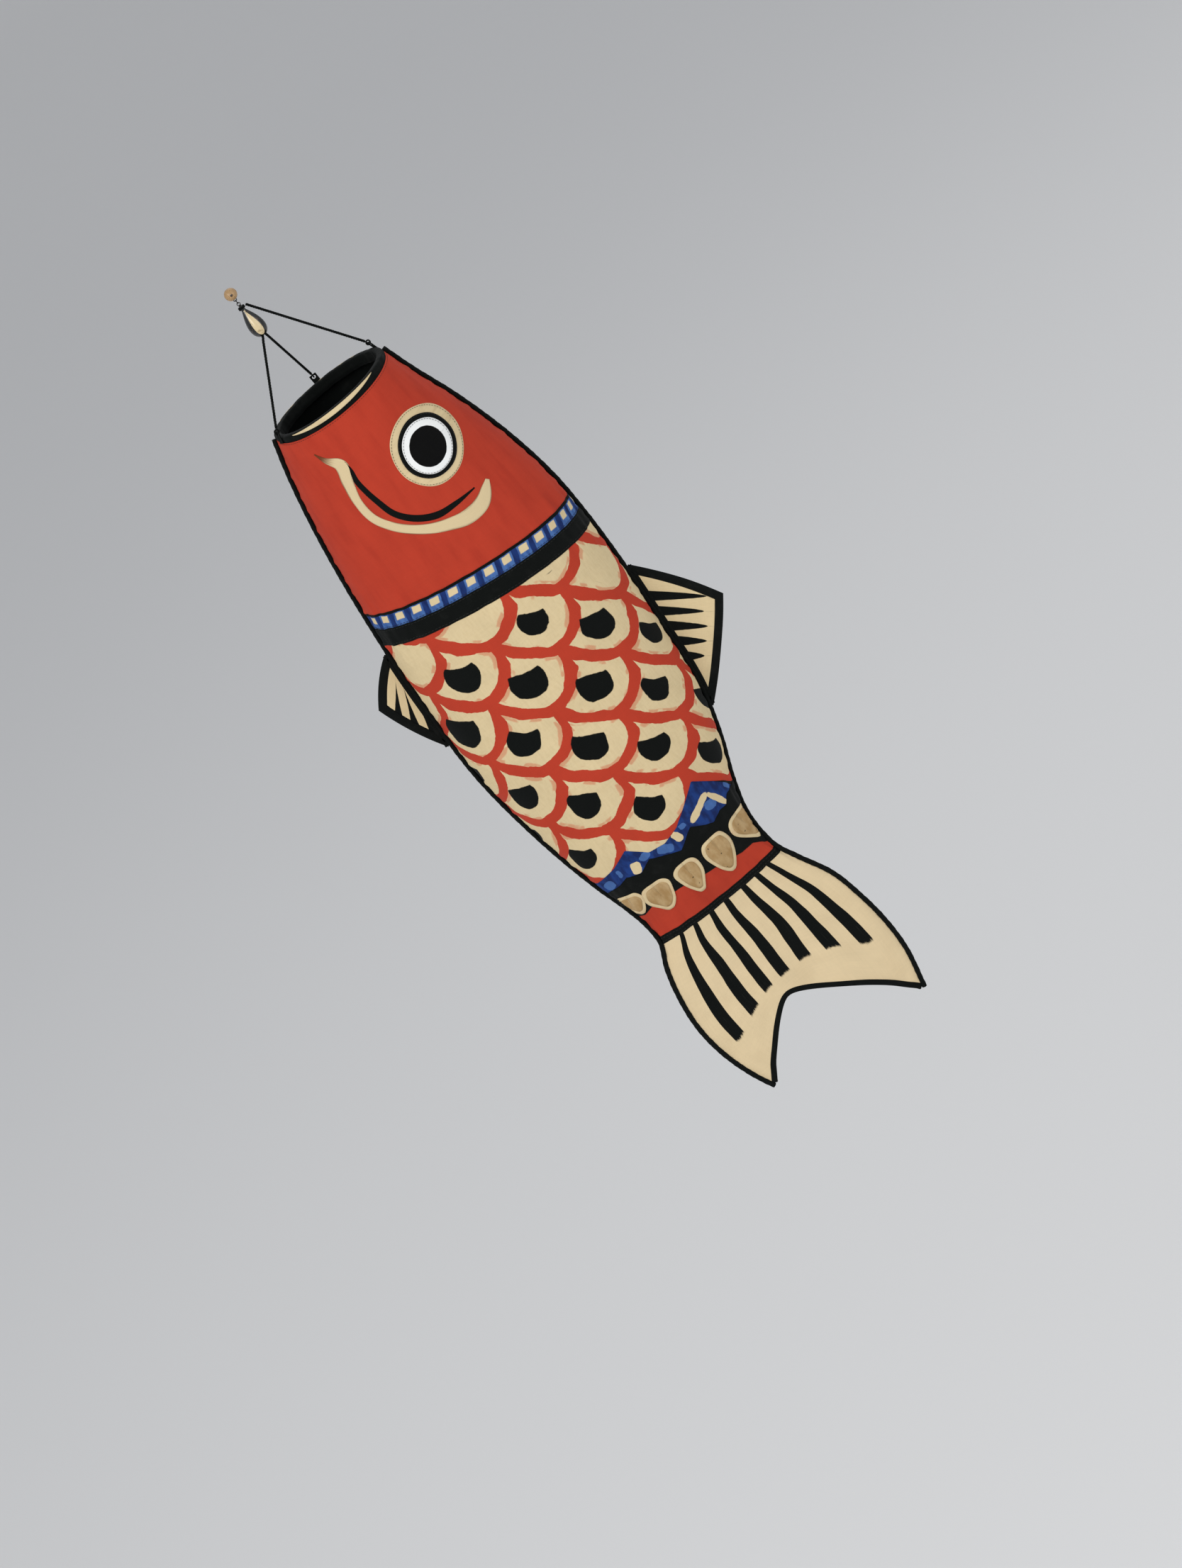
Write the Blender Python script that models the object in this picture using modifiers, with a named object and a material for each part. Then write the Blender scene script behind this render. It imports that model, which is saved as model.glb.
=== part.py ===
"""A carp streamer of printed cloth, one metre from mouth to tail, hanging from a wooden bead.

Units are metres. The bead's centre is the origin, the fish hangs down along -Z with its back
towards +X and its left flank towards -Y.
"""
import bpy
import bmesh
import math
import numpy as np
from mathutils import Matrix, Vector

# Printed and natural colours
BLACK = (0.004, 0.006, 0.005)
RED = (0.52, 0.045, 0.025)
CREAM = (0.76, 0.62, 0.36)
WHITE = (0.80, 0.80, 0.77)
TAN = (0.48, 0.33, 0.17)
BLUE = (0.020, 0.070, 0.28)
BRASS = (0.55, 0.38, 0.14)

# Driving dimensions
WALL = 0.0016            # cloth, with its lining and seams, as one solid wall
GAP = 0.0004             # left between two pieces that touch
PIPING = 0.0045          # diameter of the round piping in the seams
MOUTH_Z = -0.159         # level of the mouth, under the bead
CORD = 0.0032            # diameter of the bridle cords
CORD_STEP = 0.0019       # of the two cords in the toggle's foot, each side of the middle
BEAD_RADIUS = 0.0076
BEAD_LAND = 0.0070       # half height of the bead between its two flat lands
WIRE = 0.0005            # radius of the staple's, ring's and eye's wire
STAPLE_BAR_Z = -0.0096   # where the ring hangs in the staple
RING_FOOT_Z = -0.01355   # where the swivel's eye hangs in the ring
DROP_TOP = -0.0174
DROP_LENGTH = 0.0416
DROP_RADIUS = 0.0092
SOCKET_RADIUS = 0.0042   # in the toggle's foot, for two cords
HOOP_RADIUS = 0.0742
HOOP_WIRE = 0.0020
BINDING_HEIGHT = 0.013   # black band round the mouth
COLLAR_TOP = 0.2470      # distances below the mouth, along the middle of the fish
COLLAR_MIDDLE = 0.2675
COLLAR_END = 0.2890
BORDER_TOP = 0.6630
BORDER_MIDDLE = 0.6810
STEM_TOP = 0.7000
STEM_END = 0.7600
TAIL_TOP = 0.7680
NOTCH = 0.9100
BELLY_TIP = 0.9930
BACK_TIP = 1.0190
EYE = (0.0644, 0.0974)   # the eye's place: towards the back, and below the mouth
EYE_LAYERS = (           # name, radii, height over the flank, colour, thickness
    ("patch", (0.0430, 0.0445), 0.0009, CREAM, 0.0008),
    ("ring", (0.0339, 0.0352), 0.0024, BLACK, 0.0008),
    ("button", (0.0289, 0.0300), 0.0040, WHITE, 0.0015),
)
BACK_FIN = (0.3835, 0.5813, (0.2164, 0.4837), 0.86)    # base's ends, tip, cloth's share of the outline
BELLY_FIN = (0.2790, 0.4128, (-0.1768, 0.3256), 0.85)
FIN_STAND = 0.0018       # between the seam's piping and a fin's base
FIN_BOW = 0.0035         # how far a fin's free edges bow out
TAPE = 0.0026            # thickness of the fins' and tail's tape

# Down the fish: distance below the mouth, half width over the piping, the middle's offset towards
# the back, depth over width, slope of a level seam towards the back, roundness of the section
STATIONS = np.array((
    (0.000, 0.0830, 0.0132, 1.00, 0.00, 1.00),
    (0.035, 0.0935, 0.0124, 0.95, 0.02, 1.00),
    (0.100, 0.1125, 0.0145, 0.84, 0.06, 1.00),
    (0.187, 0.1310, 0.0160, 0.73, 0.12, 1.00),
    (0.251, 0.1396, 0.0150, 0.67, 0.156, 1.00),
    (0.300, 0.1430, 0.0120, 0.66, 0.15, 1.00),
    (0.359, 0.1445, 0.0080, 0.65, 0.13, 1.00),
    (0.467, 0.1420, 0.0000, 0.64, 0.09, 1.00),
    (0.554, 0.1330, -0.0025, 0.62, 0.07, 1.00),
    (0.618, 0.1185, -0.0080, 0.62, 0.06, 1.00),
    (0.662, 0.1050, -0.0130, 0.60, 0.058, 1.00),
    (0.705, 0.0933, -0.0145, 0.52, 0.05, 1.00),
    (0.739, 0.0896, -0.0130, 0.36, 0.04, 1.10),
    (0.764, 0.0917, -0.0120, 0.21, 0.03, 1.25),
    (0.791, 0.1037, -0.0128, 0.14, 0.02, 1.40),
    (0.834, 0.1194, -0.0095, 0.10, 0.01, 1.50),
    (0.8775, 0.1264, -0.0080, 0.085, 0.00, 1.50),
    (0.921, 0.1268, -0.0045, 0.075, 0.00, 1.50),
    (0.964, 0.1206, 0.0000, 0.070, 0.00, 1.50),
    (1.020, 0.1025, 0.0055, 0.065, 0.00, 1.50),
))
LEVELS = STATIONS[:, 0]
SHAPES = STATIONS[:, 1:]
SLOPES = np.gradient(SHAPES, LEVELS, axis=0)
LEFT, RIGHT = -1, 1
SIDES = (("left", LEFT), ("right", RIGHT))


def collection(name):
    """A collection of this name in the scene."""
    made = bpy.data.collections.new(name)
    bpy.context.scene.collection.children.link(made)
    return made


for old in list(bpy.data.objects):
    bpy.data.objects.remove(old, do_unlink=True)
PARTS = collection("carp_streamer")
CUTTERS = collection("cutters")


# ---------------------------------------------------------------- shared tools

def finish(name, data, colour, roughness, metallic=0.0):
    """The object of a sub-part, with its own material."""
    made = bpy.data.objects.new(name, data)
    PARTS.objects.link(made)
    look = bpy.data.materials.new(name + "_finish")
    look.use_nodes = True
    shader = look.node_tree.nodes["Principled BSDF"]
    shader.inputs["Base Color"].default_value = (*colour, 1.0)
    shader.inputs["Roughness"].default_value = roughness
    shader.inputs["Metallic"].default_value = metallic
    data.materials.append(look)
    return made


def smooth(mesh, degrees=40):
    """Round faces shaded smooth, real corners kept sharp."""
    mesh.shade_smooth()
    mesh.set_sharp_from_angle(angle=math.radians(degrees))


def mesh_of(build, name):
    """A mesh filled by build(bm)."""
    bm = bmesh.new()
    build(bm)
    mesh = bpy.data.meshes.new(name)
    bm.to_mesh(mesh)
    bm.free()
    smooth(mesh)
    return mesh


def operand(name, mesh):
    """A hidden shape that a Boolean cuts away or joins on."""
    made = bpy.data.objects.new(name, mesh)
    CUTTERS.objects.link(made)
    made.hide_render = True
    made.display_type = "WIRE"
    return made


def boolean(target, other, operation):
    """Cuts other from target, or joins it on."""
    step = target.modifiers.new(operation.lower() + "_" + other.name, "BOOLEAN")
    step.object = other
    step.operation = operation


def cylinder_mesh(name, radius, start, end, sides=16):
    """A closed cylinder between two points."""
    axis = Vector(end) - Vector(start)
    turn = axis.to_track_quat("Z", "Y").to_matrix().to_4x4()
    place = Matrix.Translation((Vector(start) + Vector(end)) / 2) @ turn
    return mesh_of(lambda bm: bmesh.ops.create_cone(
        bm, cap_ends=True, segments=sides, radius1=radius, radius2=radius,
        depth=axis.length, matrix=place), name)


def torus_mesh(name, major, minor, place, around=16, across=6):
    """A ring of round wire about the local Z axis, moved by place."""
    def build(bm):
        ring = bmesh.ops.create_circle(bm, segments=across, radius=minor)
        turned = Matrix.Translation((major, 0, 0)) @ Matrix.Rotation(math.pi / 2, 4, "X")
        bmesh.ops.transform(bm, matrix=turned, verts=ring["verts"])
        bmesh.ops.spin(bm, geom=bm.edges[:], axis=(0, 0, 1), cent=(0, 0, 0), steps=around,
                       angle=math.tau, use_merge=True)
        bmesh.ops.remove_doubles(bm, verts=bm.verts, dist=1e-6)
        bmesh.ops.recalc_face_normals(bm, faces=bm.faces)
        bmesh.ops.transform(bm, matrix=place, verts=bm.verts)
    return mesh_of(build, name)


def profile_mesh(name, points, closed=False):
    """An open or closed outline of edges in the XZ plane, for a Screw modifier."""
    mesh = bpy.data.meshes.new(name)
    edges = [(i, i + 1) for i in range(len(points) - 1)]
    if closed:
        edges.append((len(points) - 1, 0))
    mesh.from_pydata([(x, 0, z) for x, z in points], edges, [])
    return mesh


def turn(target, steps=16):
    """Turns the profile about Z."""
    screw = target.modifiers.new("turned", "SCREW")
    screw.steps = steps
    screw.render_steps = steps
    screw.use_merge_vertices = True
    screw.merge_threshold = 0.00001
    screw.use_smooth_shade = True
    return target


def arc(centre_x, centre_z, radius, start, end, steps):
    """Points on a circle in the XZ plane, angles in degrees from +X towards +Z."""
    angles = np.radians(np.linspace(start, end, steps))
    return [(centre_x + radius * math.cos(a), centre_z + radius * math.sin(a)) for a in angles]


def tube(name, points, diameter, colour, roughness, metallic=0.0, sides=2):
    """A round cord, wire or piping along the points."""
    curve = bpy.data.curves.new(name, "CURVE")
    curve.dimensions = "3D"
    curve.bevel_depth = diameter / 2
    curve.bevel_resolution = sides
    curve.use_fill_caps = True
    spline = curve.splines.new("POLY")
    spline.points.add(len(points) - 1)
    for point, place in zip(spline.points, points):
        point.co = (*place, 1.0)
    return finish(name, curve, colour, roughness, metallic)


def flat_plate(name, outline, thickness, colour, roughness):
    """A flat piece in the median plane, its outline given in X and Z."""
    curve = bpy.data.curves.new(name, "CURVE")
    curve.dimensions = "2D"
    curve.fill_mode = "BOTH"
    curve.extrude = thickness / 2
    spline = curve.splines.new("POLY")
    spline.use_cyclic_u = True
    spline.points.add(len(outline) - 1)
    for point, (x, z) in zip(spline.points, outline):
        point.co = (x, z, 0.0, 1.0)
    plate = finish(name, curve, colour, roughness)
    plate.rotation_euler = (math.pi / 2, 0, 0)
    return plate


# ---------------------------------------------------------------- the cloth's form

def section(distance):
    """The section at a distance below the mouth, from a smooth curve through the stations."""
    place = float(np.clip(distance, LEVELS[0], LEVELS[-1]))
    i = min(int(np.searchsorted(LEVELS, place, side="right")) - 1, len(LEVELS) - 2)
    step = LEVELS[i + 1] - LEVELS[i]
    t = (place - LEVELS[i]) / step
    return (SHAPES[i] * (2 * t**3 - 3 * t**2 + 1) + SLOPES[i] * step * (t**3 - 2 * t**2 + t)
            + SHAPES[i + 1] * (3 * t**2 - 2 * t**3) + SLOPES[i + 1] * step * (t**3 - t**2))


def cloth_point(distance, degrees, side, lift=0.0, seam=GAP / 2):
    """A point on the cloth's inner face: -90 degrees is the belly seam, +90 the back seam."""
    lean = math.sin(math.radians(degrees))
    bulge = max(math.cos(math.radians(degrees)), 0.0)
    level = distance + section(distance)[3] * section(distance)[0] * lean
    half, middle, depth, _, power = section(level)
    reach = half - PIPING - GAP - WALL
    x = middle + (reach + lift) * lean
    y = side * (seam + (depth * reach + lift) * bulge**power)
    return (x, y, MOUTH_Z - level)


def flank_point(x, distance, side, lift):
    """A point laid on the flank beside a place in the median plane, lifted off the inner face."""
    half, middle, depth, _, power = section(distance)
    reach = half - PIPING - GAP - WALL
    lean = min(abs(x - middle) / (reach + lift), 0.999)
    bulge = math.sqrt(1 - lean * lean)
    return (x, side * (GAP / 2 + (depth * reach + lift) * bulge**power), MOUTH_Z - distance)


def seam_path(start, end, edge, steps):
    """Middle line of the piping along the back (edge +1) or the belly (edge -1)."""
    path = []
    for distance in np.linspace(start, end, steps):
        half, middle = section(distance)[:2]
        path.append((middle + edge * (half - PIPING / 2), 0.0, MOUTH_Z - distance))
    return path


def outward(bm):
    """Turns every face away from the fish's long axis."""
    middle = sum((v.co for v in bm.verts), Vector()) / len(bm.verts)
    total = 0.0
    for face in bm.faces:
        away = face.calc_center_median() - Vector((0, 0, middle.z))
        total += face.normal.dot(Vector((away.x, away.y, 0))) * face.calc_area()
    if total < 0:
        bmesh.ops.reverse_faces(bm, faces=bm.faces[:])


def sheet(name, columns, rows, place, colour, roughness, thickness=WALL):
    """A grid laid by place(u, v), u and v from 0 to 1, given its thickness outwards."""
    def build(bm):
        bmesh.ops.create_grid(bm, x_segments=columns, y_segments=rows, size=0.5)
        for vert in bm.verts:
            vert.co = place(vert.co.x + 0.5, vert.co.y + 0.5)
        bmesh.ops.remove_doubles(bm, verts=bm.verts, dist=1e-6)
        outward(bm)
    piece = finish(name, mesh_of(build, name), colour, roughness)
    wall = piece.modifiers.new("thickness", "SOLIDIFY")
    wall.thickness = thickness
    wall.offset = 1.0
    wall.use_even_offset = True
    return piece


def band(name, start, end, colour, roughness, around=36, rows=1):
    """A closed band of cloth round the fish."""
    def place(u, v):
        distance = start + GAP / 2 + v * (end - start - GAP)
        if u <= 0.5:
            return cloth_point(distance, -90 + 360 * u, LEFT, seam=0.0)
        return cloth_point(distance, 270 - 360 * u, RIGHT, seam=0.0)
    return sheet(name, around, rows, place, colour, roughness)


def panel(name, side, start, end, colour, columns=16, rows=10):
    """One flank's panel of cloth between two cross seams."""
    def place(u, v):
        distance = start + GAP / 2 + v * (end - start - GAP)
        return cloth_point(distance, -90 + 180 * u, side)
    return sheet(name, columns, rows, place, colour, 0.85)


def patch(name, side, centre, radii, lift, colour, thickness, around=20, rings=2, roughness=0.8):
    """A round or oval patch laid on a flank."""
    def place(u, v):
        angle = math.tau * u
        x = centre[0] + v * radii[0] * math.cos(angle)
        distance = centre[1] + v * radii[1] * math.sin(angle)
        return flank_point(x, distance, side, WALL + lift)
    return sheet(name, around, rings, place, colour, roughness, thickness)


# ---------------------------------------------------------------- hanging gear

def pole_bead():
    """Turned wooden bead with two flat lands and a cross bore for the pole's line."""
    land_angle = math.degrees(math.asin(BEAD_LAND / BEAD_RADIUS))
    profile = [(0, BEAD_LAND)] + arc(0, 0, BEAD_RADIUS, land_angle, -land_angle, 10) + [(0, -BEAD_LAND)]
    bead = turn(finish("pole_bead", profile_mesh("pole_bead", profile), TAN, 0.55), 20)
    bore = operand("bead_bore", cylinder_mesh("bead_bore", 0.0016, (0, -0.01, 0), (0, 0.01, 0), 12))
    boolean(bead, bore, "DIFFERENCE")
    for name, x in (("staple_hole_a", -0.0019), ("staple_hole_b", 0.0019)):
        hole = cylinder_mesh(name, WIRE + 0.0003, (x, 0, -0.010), (x, 0, -0.0031), 8)
        boolean(bead, operand(name, hole), "DIFFERENCE")


def bead_staple():
    """U of brass wire driven into the bead; the link ring hangs in it."""
    spread = 0.0019
    legs_top = -0.0034
    bend = arc(0, STAPLE_BAR_Z + spread, spread, 180, 360, 9)
    path = [(-spread, 0, legs_top)] + [(x, 0, z) for x, z in bend] + [(spread, 0, legs_top)]
    tube("bead_staple", path, 2 * WIRE, BRASS, 0.35, 1.0)


def link_ring():
    """Ring of brass wire between the staple and the swivel's eye."""
    clear = 2 * WIRE + 0.00025
    centre = (STAPLE_BAR_Z + RING_FOOT_Z + clear) / 2
    major = (STAPLE_BAR_Z + clear - RING_FOOT_Z) / 2
    place = Matrix.Translation((0, 0, centre)) @ Matrix.Rotation(math.pi / 2, 4, "Y")
    finish("link_ring", torus_mesh("link_ring", major, WIRE, place, 18), BRASS, 0.35, 1.0)


def swivel_eye():
    """Eye on a shoulder and a pin whose ball end turns inside the toggle."""
    shoulder_top = -0.0161
    ball_z = -0.0226
    profile = [(0, shoulder_top), (0.0017, shoulder_top), (0.0017, -0.0170), (0.0007, -0.0170)]
    profile += [(0.0007, ball_z + 0.00133)] + arc(0, ball_z, 0.0015, 45, -90, 7)
    pin = turn(finish("swivel_eye", profile_mesh("swivel_eye", profile), BRASS, 0.35, 1.0), 12)
    eye_radius = 0.0019
    eye_z = RING_FOOT_Z + 2 * WIRE + 0.00025 - eye_radius
    place = Matrix.Translation((0, 0, eye_z)) @ Matrix.Rotation(math.pi / 2, 4, "X")
    boolean(pin, operand("swivel_loop", torus_mesh("swivel_loop", eye_radius, WIRE, place, 16)), "UNION")


def drop_radius(z):
    """Radius of the toggle at a level: a neck that swells into a drop."""
    share = min(max((DROP_TOP - z) / DROP_LENGTH, 0.0), 1.0)
    angle = math.acos(1 - 2 * share)
    swell = DROP_RADIUS / 0.727 * math.sin(angle) * math.sin(angle / 2)**1.3
    return max(swell, 0.0027) if share < 0.5 else swell


def toggle_drop():
    """Turned toggle with a socket for the swivel's ball and one for two cords' ends."""
    levels = DROP_TOP - DROP_LENGTH * (1 - np.cos(np.linspace(0, math.pi, 19))) / 2
    profile = [(0, DROP_TOP)] + [(drop_radius(z), z) for z in levels[:-1]] + [(0, levels[-1])]
    drop = turn(finish("toggle_drop", profile_mesh("toggle_drop", profile), BLACK, 0.25), 20)
    neck = cylinder_mesh("neck_bore", 0.0011, (0, 0, -0.0150), (0, 0, -0.0226), 12)
    boolean(drop, operand("neck_bore", neck), "DIFFERENCE")
    pocket = [(0, -0.0207)] + arc(0, -0.0226, 0.0019, 80, -80, 8) + [(0, -0.0245)]
    boolean(drop, turn(operand("ball_pocket", profile_mesh("ball_pocket", pocket)), 12), "DIFFERENCE")
    socket = cylinder_mesh("cord_socket", SOCKET_RADIUS, (0, 0, -0.064), (0, 0, -0.0495), 16)
    boolean(drop, operand("cord_socket", socket), "DIFFERENCE")


def drop_inlays():
    """Cream inlay on the toggle's left and right faces, a smaller drop in outline."""
    top, length, width = -0.0262, 0.0290, 0.0050
    for label, side in SIDES:
        def place(u, v, side=side):
            angle = math.tau * u
            half = width / 0.727 * abs(math.sin(angle)) * abs(math.sin(angle / 2))**1.3
            if angle > math.pi:
                half = -width / 0.727 * abs(math.sin(angle)) * abs(math.sin(math.pi - angle / 2))**1.3
            z = top - length * (1 - math.cos(angle)) / 2
            middle = top - 0.6 * length
            x, z = v * half, middle + v * (z - middle)
            return (x, side * (math.sqrt(drop_radius(z)**2 - x * x) + 0.0004), z)
        sheet("drop_inlay_" + label, 20, 2, place, CREAM, 0.4, 0.0007)


def neck_lashing():
    """Cord wound round the toggle's neck, which holds the back cord."""
    place = Matrix.Translation((0, 0, -0.0196))
    finish("neck_lashing", torus_mesh("neck_lashing", 0.0040, 0.0009, place), BLACK, 0.8)


# ---------------------------------------------------------------- mouth and bridle

MOUTH_MIDDLE = STATIONS[0][2]
# Where each cord meets the mouth: degrees from the right flank towards the back, and how far its
# tab stands off the binding, because the right one is sewn on over the lip
CORD_PLACES = {"back": (70.0, 0.0006), "right": (0.0, 0.0026), "belly": (-108.0, 0.0006)}
RIM_RADIUS = STATIONS[0][1] - PIPING - GAP
TAB_LEAN = math.radians(15.5)
TAB_TOP = 0.0094
TAB_BOTTOM = -0.0060
TAB_THICK = 0.0012
TAB_WIDTH = 0.0090
TAB_HOLE = 0.0058
TAB_BAR = 0.0088
LOOP_RADIUS = 0.0026
LOOP_WIRE = 0.0010


def tab_frame(name):
    """Matrix of a webbing tab: X along the rim, Y out of the cloth, Z up along it."""
    degrees, stand_off = CORD_PLACES[name]
    around = Matrix.Rotation(-math.radians(degrees), 4, "Z")
    lean = Matrix.Rotation(TAB_LEAN, 4, "X")
    rim = Matrix.Translation((0, RIM_RADIUS, 0))
    off = Matrix.Translation((0, stand_off + TAB_THICK / 2, 0))
    return Matrix.Translation((MOUTH_MIDDLE, 0, MOUTH_Z)) @ around @ rim @ lean @ off


def bridle_tab(name):
    """Folded webbing tab sewn to the mouth binding, with a hole under its top bar."""
    frame = tab_frame(name)
    size = Matrix.Diagonal((TAB_WIDTH, TAB_THICK, TAB_TOP - TAB_BOTTOM, 1))
    middle = Matrix.Translation((0, 0, (TAB_TOP + TAB_BOTTOM) / 2))
    tab = finish("bridle_tab_" + name, mesh_of(
        lambda bm: bmesh.ops.create_cube(bm, size=1.0, matrix=frame @ middle @ size), name), BLACK, 0.85)
    start, end = frame @ Vector((0, -0.003, TAB_HOLE)), frame @ Vector((0, 0.003, TAB_HOLE))
    hole = cylinder_mesh("tab_hole_" + name, 0.0024, start, end, 14)
    boolean(tab, operand("tab_hole_" + name, hole), "DIFFERENCE")


def cord_loop(name):
    """Loop of cord round the tab's top bar, where a bridle cord is tied."""
    place = tab_frame(name) @ Matrix.Translation((0, 0, TAB_BAR)) @ Matrix.Rotation(math.pi / 2, 4, "Y")
    finish("cord_loop_" + name, torus_mesh("cord_loop_" + name, LOOP_RADIUS, LOOP_WIRE, place, 14),
           BLACK, 0.8)


def even_points(corners, spacing):
    """Points at about this spacing along a smooth line through the corners."""
    corners = [Vector(c) for c in corners]
    runs = [(b - a).length for a, b in zip(corners, corners[1:])]
    knots = np.concatenate([[0], np.cumsum(runs)])
    slopes = np.gradient(np.array(corners), knots, axis=0)
    path = []
    for place in np.linspace(0, knots[-1], max(int(knots[-1] / spacing), 2)):
        i = min(int(np.searchsorted(knots, place, side="right")) - 1, len(knots) - 2)
        step = knots[i + 1] - knots[i]
        t = (place - knots[i]) / step
        a, b = np.array(corners[i]), np.array(corners[i + 1])
        path.append(tuple(a * (2 * t**3 - 3 * t**2 + 1) + slopes[i] * step * (t**3 - 2 * t**2 + t)
                          + b * (3 * t**2 - 2 * t**3) + slopes[i + 1] * step * (t**3 - t**2)))
    return path


def bar_middle(name):
    """Middle of a tab's top bar."""
    return tab_frame(name) @ Vector((0, 0, TAB_BAR))


def bridle_cord(name, corners):
    """A taut cord from the toggle to its loop on the mouth."""
    target = bar_middle(name)
    last = Vector(corners[-1])
    reach = LOOP_RADIUS + LOOP_WIRE + GAP
    end = target + (last - target).normalized() * reach
    middle = last.lerp(end, 0.5)
    tube("bridle_cord_" + name, even_points(corners + [middle, end], 0.0065), CORD, BLACK, 0.8)


def bridle():
    """Three tabs, loops and cords between the toggle and the mouth."""
    for name in CORD_PLACES:
        bridle_tab(name)
        cord_loop(name)
    for name, x in (("right", CORD_STEP), ("belly", -CORD_STEP)):
        lip = Vector((x, 0, -0.0592))
        lead = lip + (bar_middle(name) - lip).normalized() * 0.008
        bridle_cord(name, [(x, 0, -0.0510), tuple(lip), tuple(lead)])
    target = bar_middle("back")
    aside = Vector((target.x, target.y, 0)).normalized()
    bridle_cord("back", [tuple(Vector((0, 0, -0.0200)) + aside * 0.0065)])


def mouth():
    """Spring hoop with its ferrule, the black binding over it and the facing inside."""
    hoop_z = MOUTH_Z - 0.0045
    place = Matrix.Translation((MOUTH_MIDDLE, 0, hoop_z))
    finish("mouth_hoop", torus_mesh("mouth_hoop", HOOP_RADIUS, HOOP_WIRE, place, 48), BLACK, 0.4)
    wall = [(0.0029, 0.007), (0.0029, -0.007), (0.0025, -0.007), (0.0025, 0.007)]
    sleeve = profile_mesh("hoop_ferrule", wall, closed=True)
    ferrule = turn(finish("hoop_ferrule", sleeve, BRASS, 0.4, 1.0), 12)
    ferrule.location = (MOUTH_MIDDLE + HOOP_RADIUS, 0, hoop_z)
    ferrule.rotation_euler = (math.pi / 2, 0, 0)
    band("mouth_binding", 0.0, BINDING_HEIGHT, BLACK, 0.85, around=44, rows=2)

    def facing(u, v):
        angle = math.tau * u
        return (MOUTH_MIDDLE + 0.0698 * math.cos(angle), 0.0698 * math.sin(angle),
                MOUTH_Z - 0.0005 - 0.0125 * v)
    sheet("mouth_facing", 40, 1, facing, BLACK, 0.85, 0.0009)
    for label, side in SIDES:
        def lip(u, v, side=side):
            height = 0.0008 + 0.0056 * math.sin(math.pi * u)
            return cloth_point(0.0012 + v * height, -52 + 93 * u, side, lift=WALL + 0.0008)
        sheet("lip_" + label, 14, 1, lip, CREAM, 0.8, 0.0010)


# ---------------------------------------------------------------- cloth tube

def head():
    """Red head: two panels, the piping in their seams and the eyes."""
    for label, side in SIDES:
        panel("head_panel_" + label, side, BINDING_HEIGHT, COLLAR_TOP, RED, rows=9)
        for layer, radii, lift, colour, thickness in EYE_LAYERS:
            patch(f"eye_{layer}_{label}", side, EYE, radii, lift, colour, thickness, rings=3)
    tube("head_back_piping", seam_path(0.0145, 0.2660, 1, 14), PIPING, BLACK, 0.8, sides=1)
    tube("head_belly_piping", seam_path(0.0145, 0.2250, -1, 14), PIPING, BLACK, 0.8, sides=1)


def collar():
    """Checked band and black band where the head joins the body."""
    band("collar_check_band", COLLAR_TOP, COLLAR_MIDDLE, BLUE, 0.85)
    band("collar_black_band", COLLAR_MIDDLE, COLLAR_END, BLACK, 0.85)


def body():
    """Printed body panels and the piping of the back and belly seams."""
    for label, side in SIDES:
        panel("body_panel_" + label, side, COLLAR_END, BORDER_TOP, CREAM, rows=12)
    tube("body_back_piping", seam_path(0.3140, 0.6660, 1, 18), PIPING, BLACK, 0.8, sides=1)
    tube("body_belly_piping", seam_path(0.2700, 0.6540, -1, 18), PIPING, BLACK, 0.8, sides=1)


def fin(name, edge, start, end, corner, inner):
    """A flat fin and the black tape round its two free edges; inner is the cloth's share of the outline."""
    def base(share):
        half, middle = section(start + share * (end - start))[:2]
        return Vector((middle + edge * (half + FIN_STAND), MOUTH_Z - start - share * (end - start)))

    tip = Vector((corner[0], MOUTH_Z - corner[1]))
    middle = (base(0) + base(1)) / 2

    def free_edges(scale):
        """The two bowed free edges by way of the tip, drawn in towards the base's middle."""
        points = []
        for a, b in ((base(0), tip), (tip, base(1))):
            bow = ((a + b) / 2 - middle).normalized() * FIN_BOW
            points += [a.lerp(b, t) + bow * 4 * t * (1 - t) for t in (0.0, 0.25, 0.5, 0.75)]
        inside = [tuple(middle + (p - middle) * scale) for p in points[1:]]
        return [tuple(base(0.5 - scale / 2))] + inside + [tuple(base(0.5 + scale / 2))]

    cloth_scale = inner - 0.012
    root = [tuple(base(share)) for share in np.linspace(0.5 + cloth_scale / 2, 0.5 - cloth_scale / 2, 7)]
    flat_plate(name, free_edges(cloth_scale)[1:-1] + root, WALL, CREAM, 0.85)
    flat_plate(name + "_binding", free_edges(1.0) + free_edges(inner)[::-1], TAPE, BLACK, 0.85)


def stem():
    """Jagged border, black band, red tail stem and its pebble-shaped patches."""
    band("border_blue_band", BORDER_TOP, BORDER_MIDDLE, BLUE, 0.85)
    band("border_black_band", BORDER_MIDDLE, STEM_TOP, BLACK, 0.85)
    for label, side in SIDES:
        panel("stem_panel_" + label, side, STEM_TOP, STEM_END, RED, rows=4)

        def lobes(u, v, side=side):
            wave = abs(math.sin(5 * math.pi * u))**0.6
            rise = 0.0030 + 0.0105 * wave
            level = 0.7060 + (v - 0.45) * 2 * rise
            return cloth_point(level, -64 + 128 * u, side, lift=WALL + 0.0008)
        sheet("pebble_row_" + label, 40, 1, lobes, TAN, 0.85, 0.0009)
    tube("stem_back_piping", seam_path(0.7080, 0.7590, 1, 6), PIPING, BLACK, 0.8, sides=1)
    tube("stem_belly_piping", seam_path(0.6960, 0.7560, -1, 6), PIPING, BLACK, 0.8, sides=1)


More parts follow.
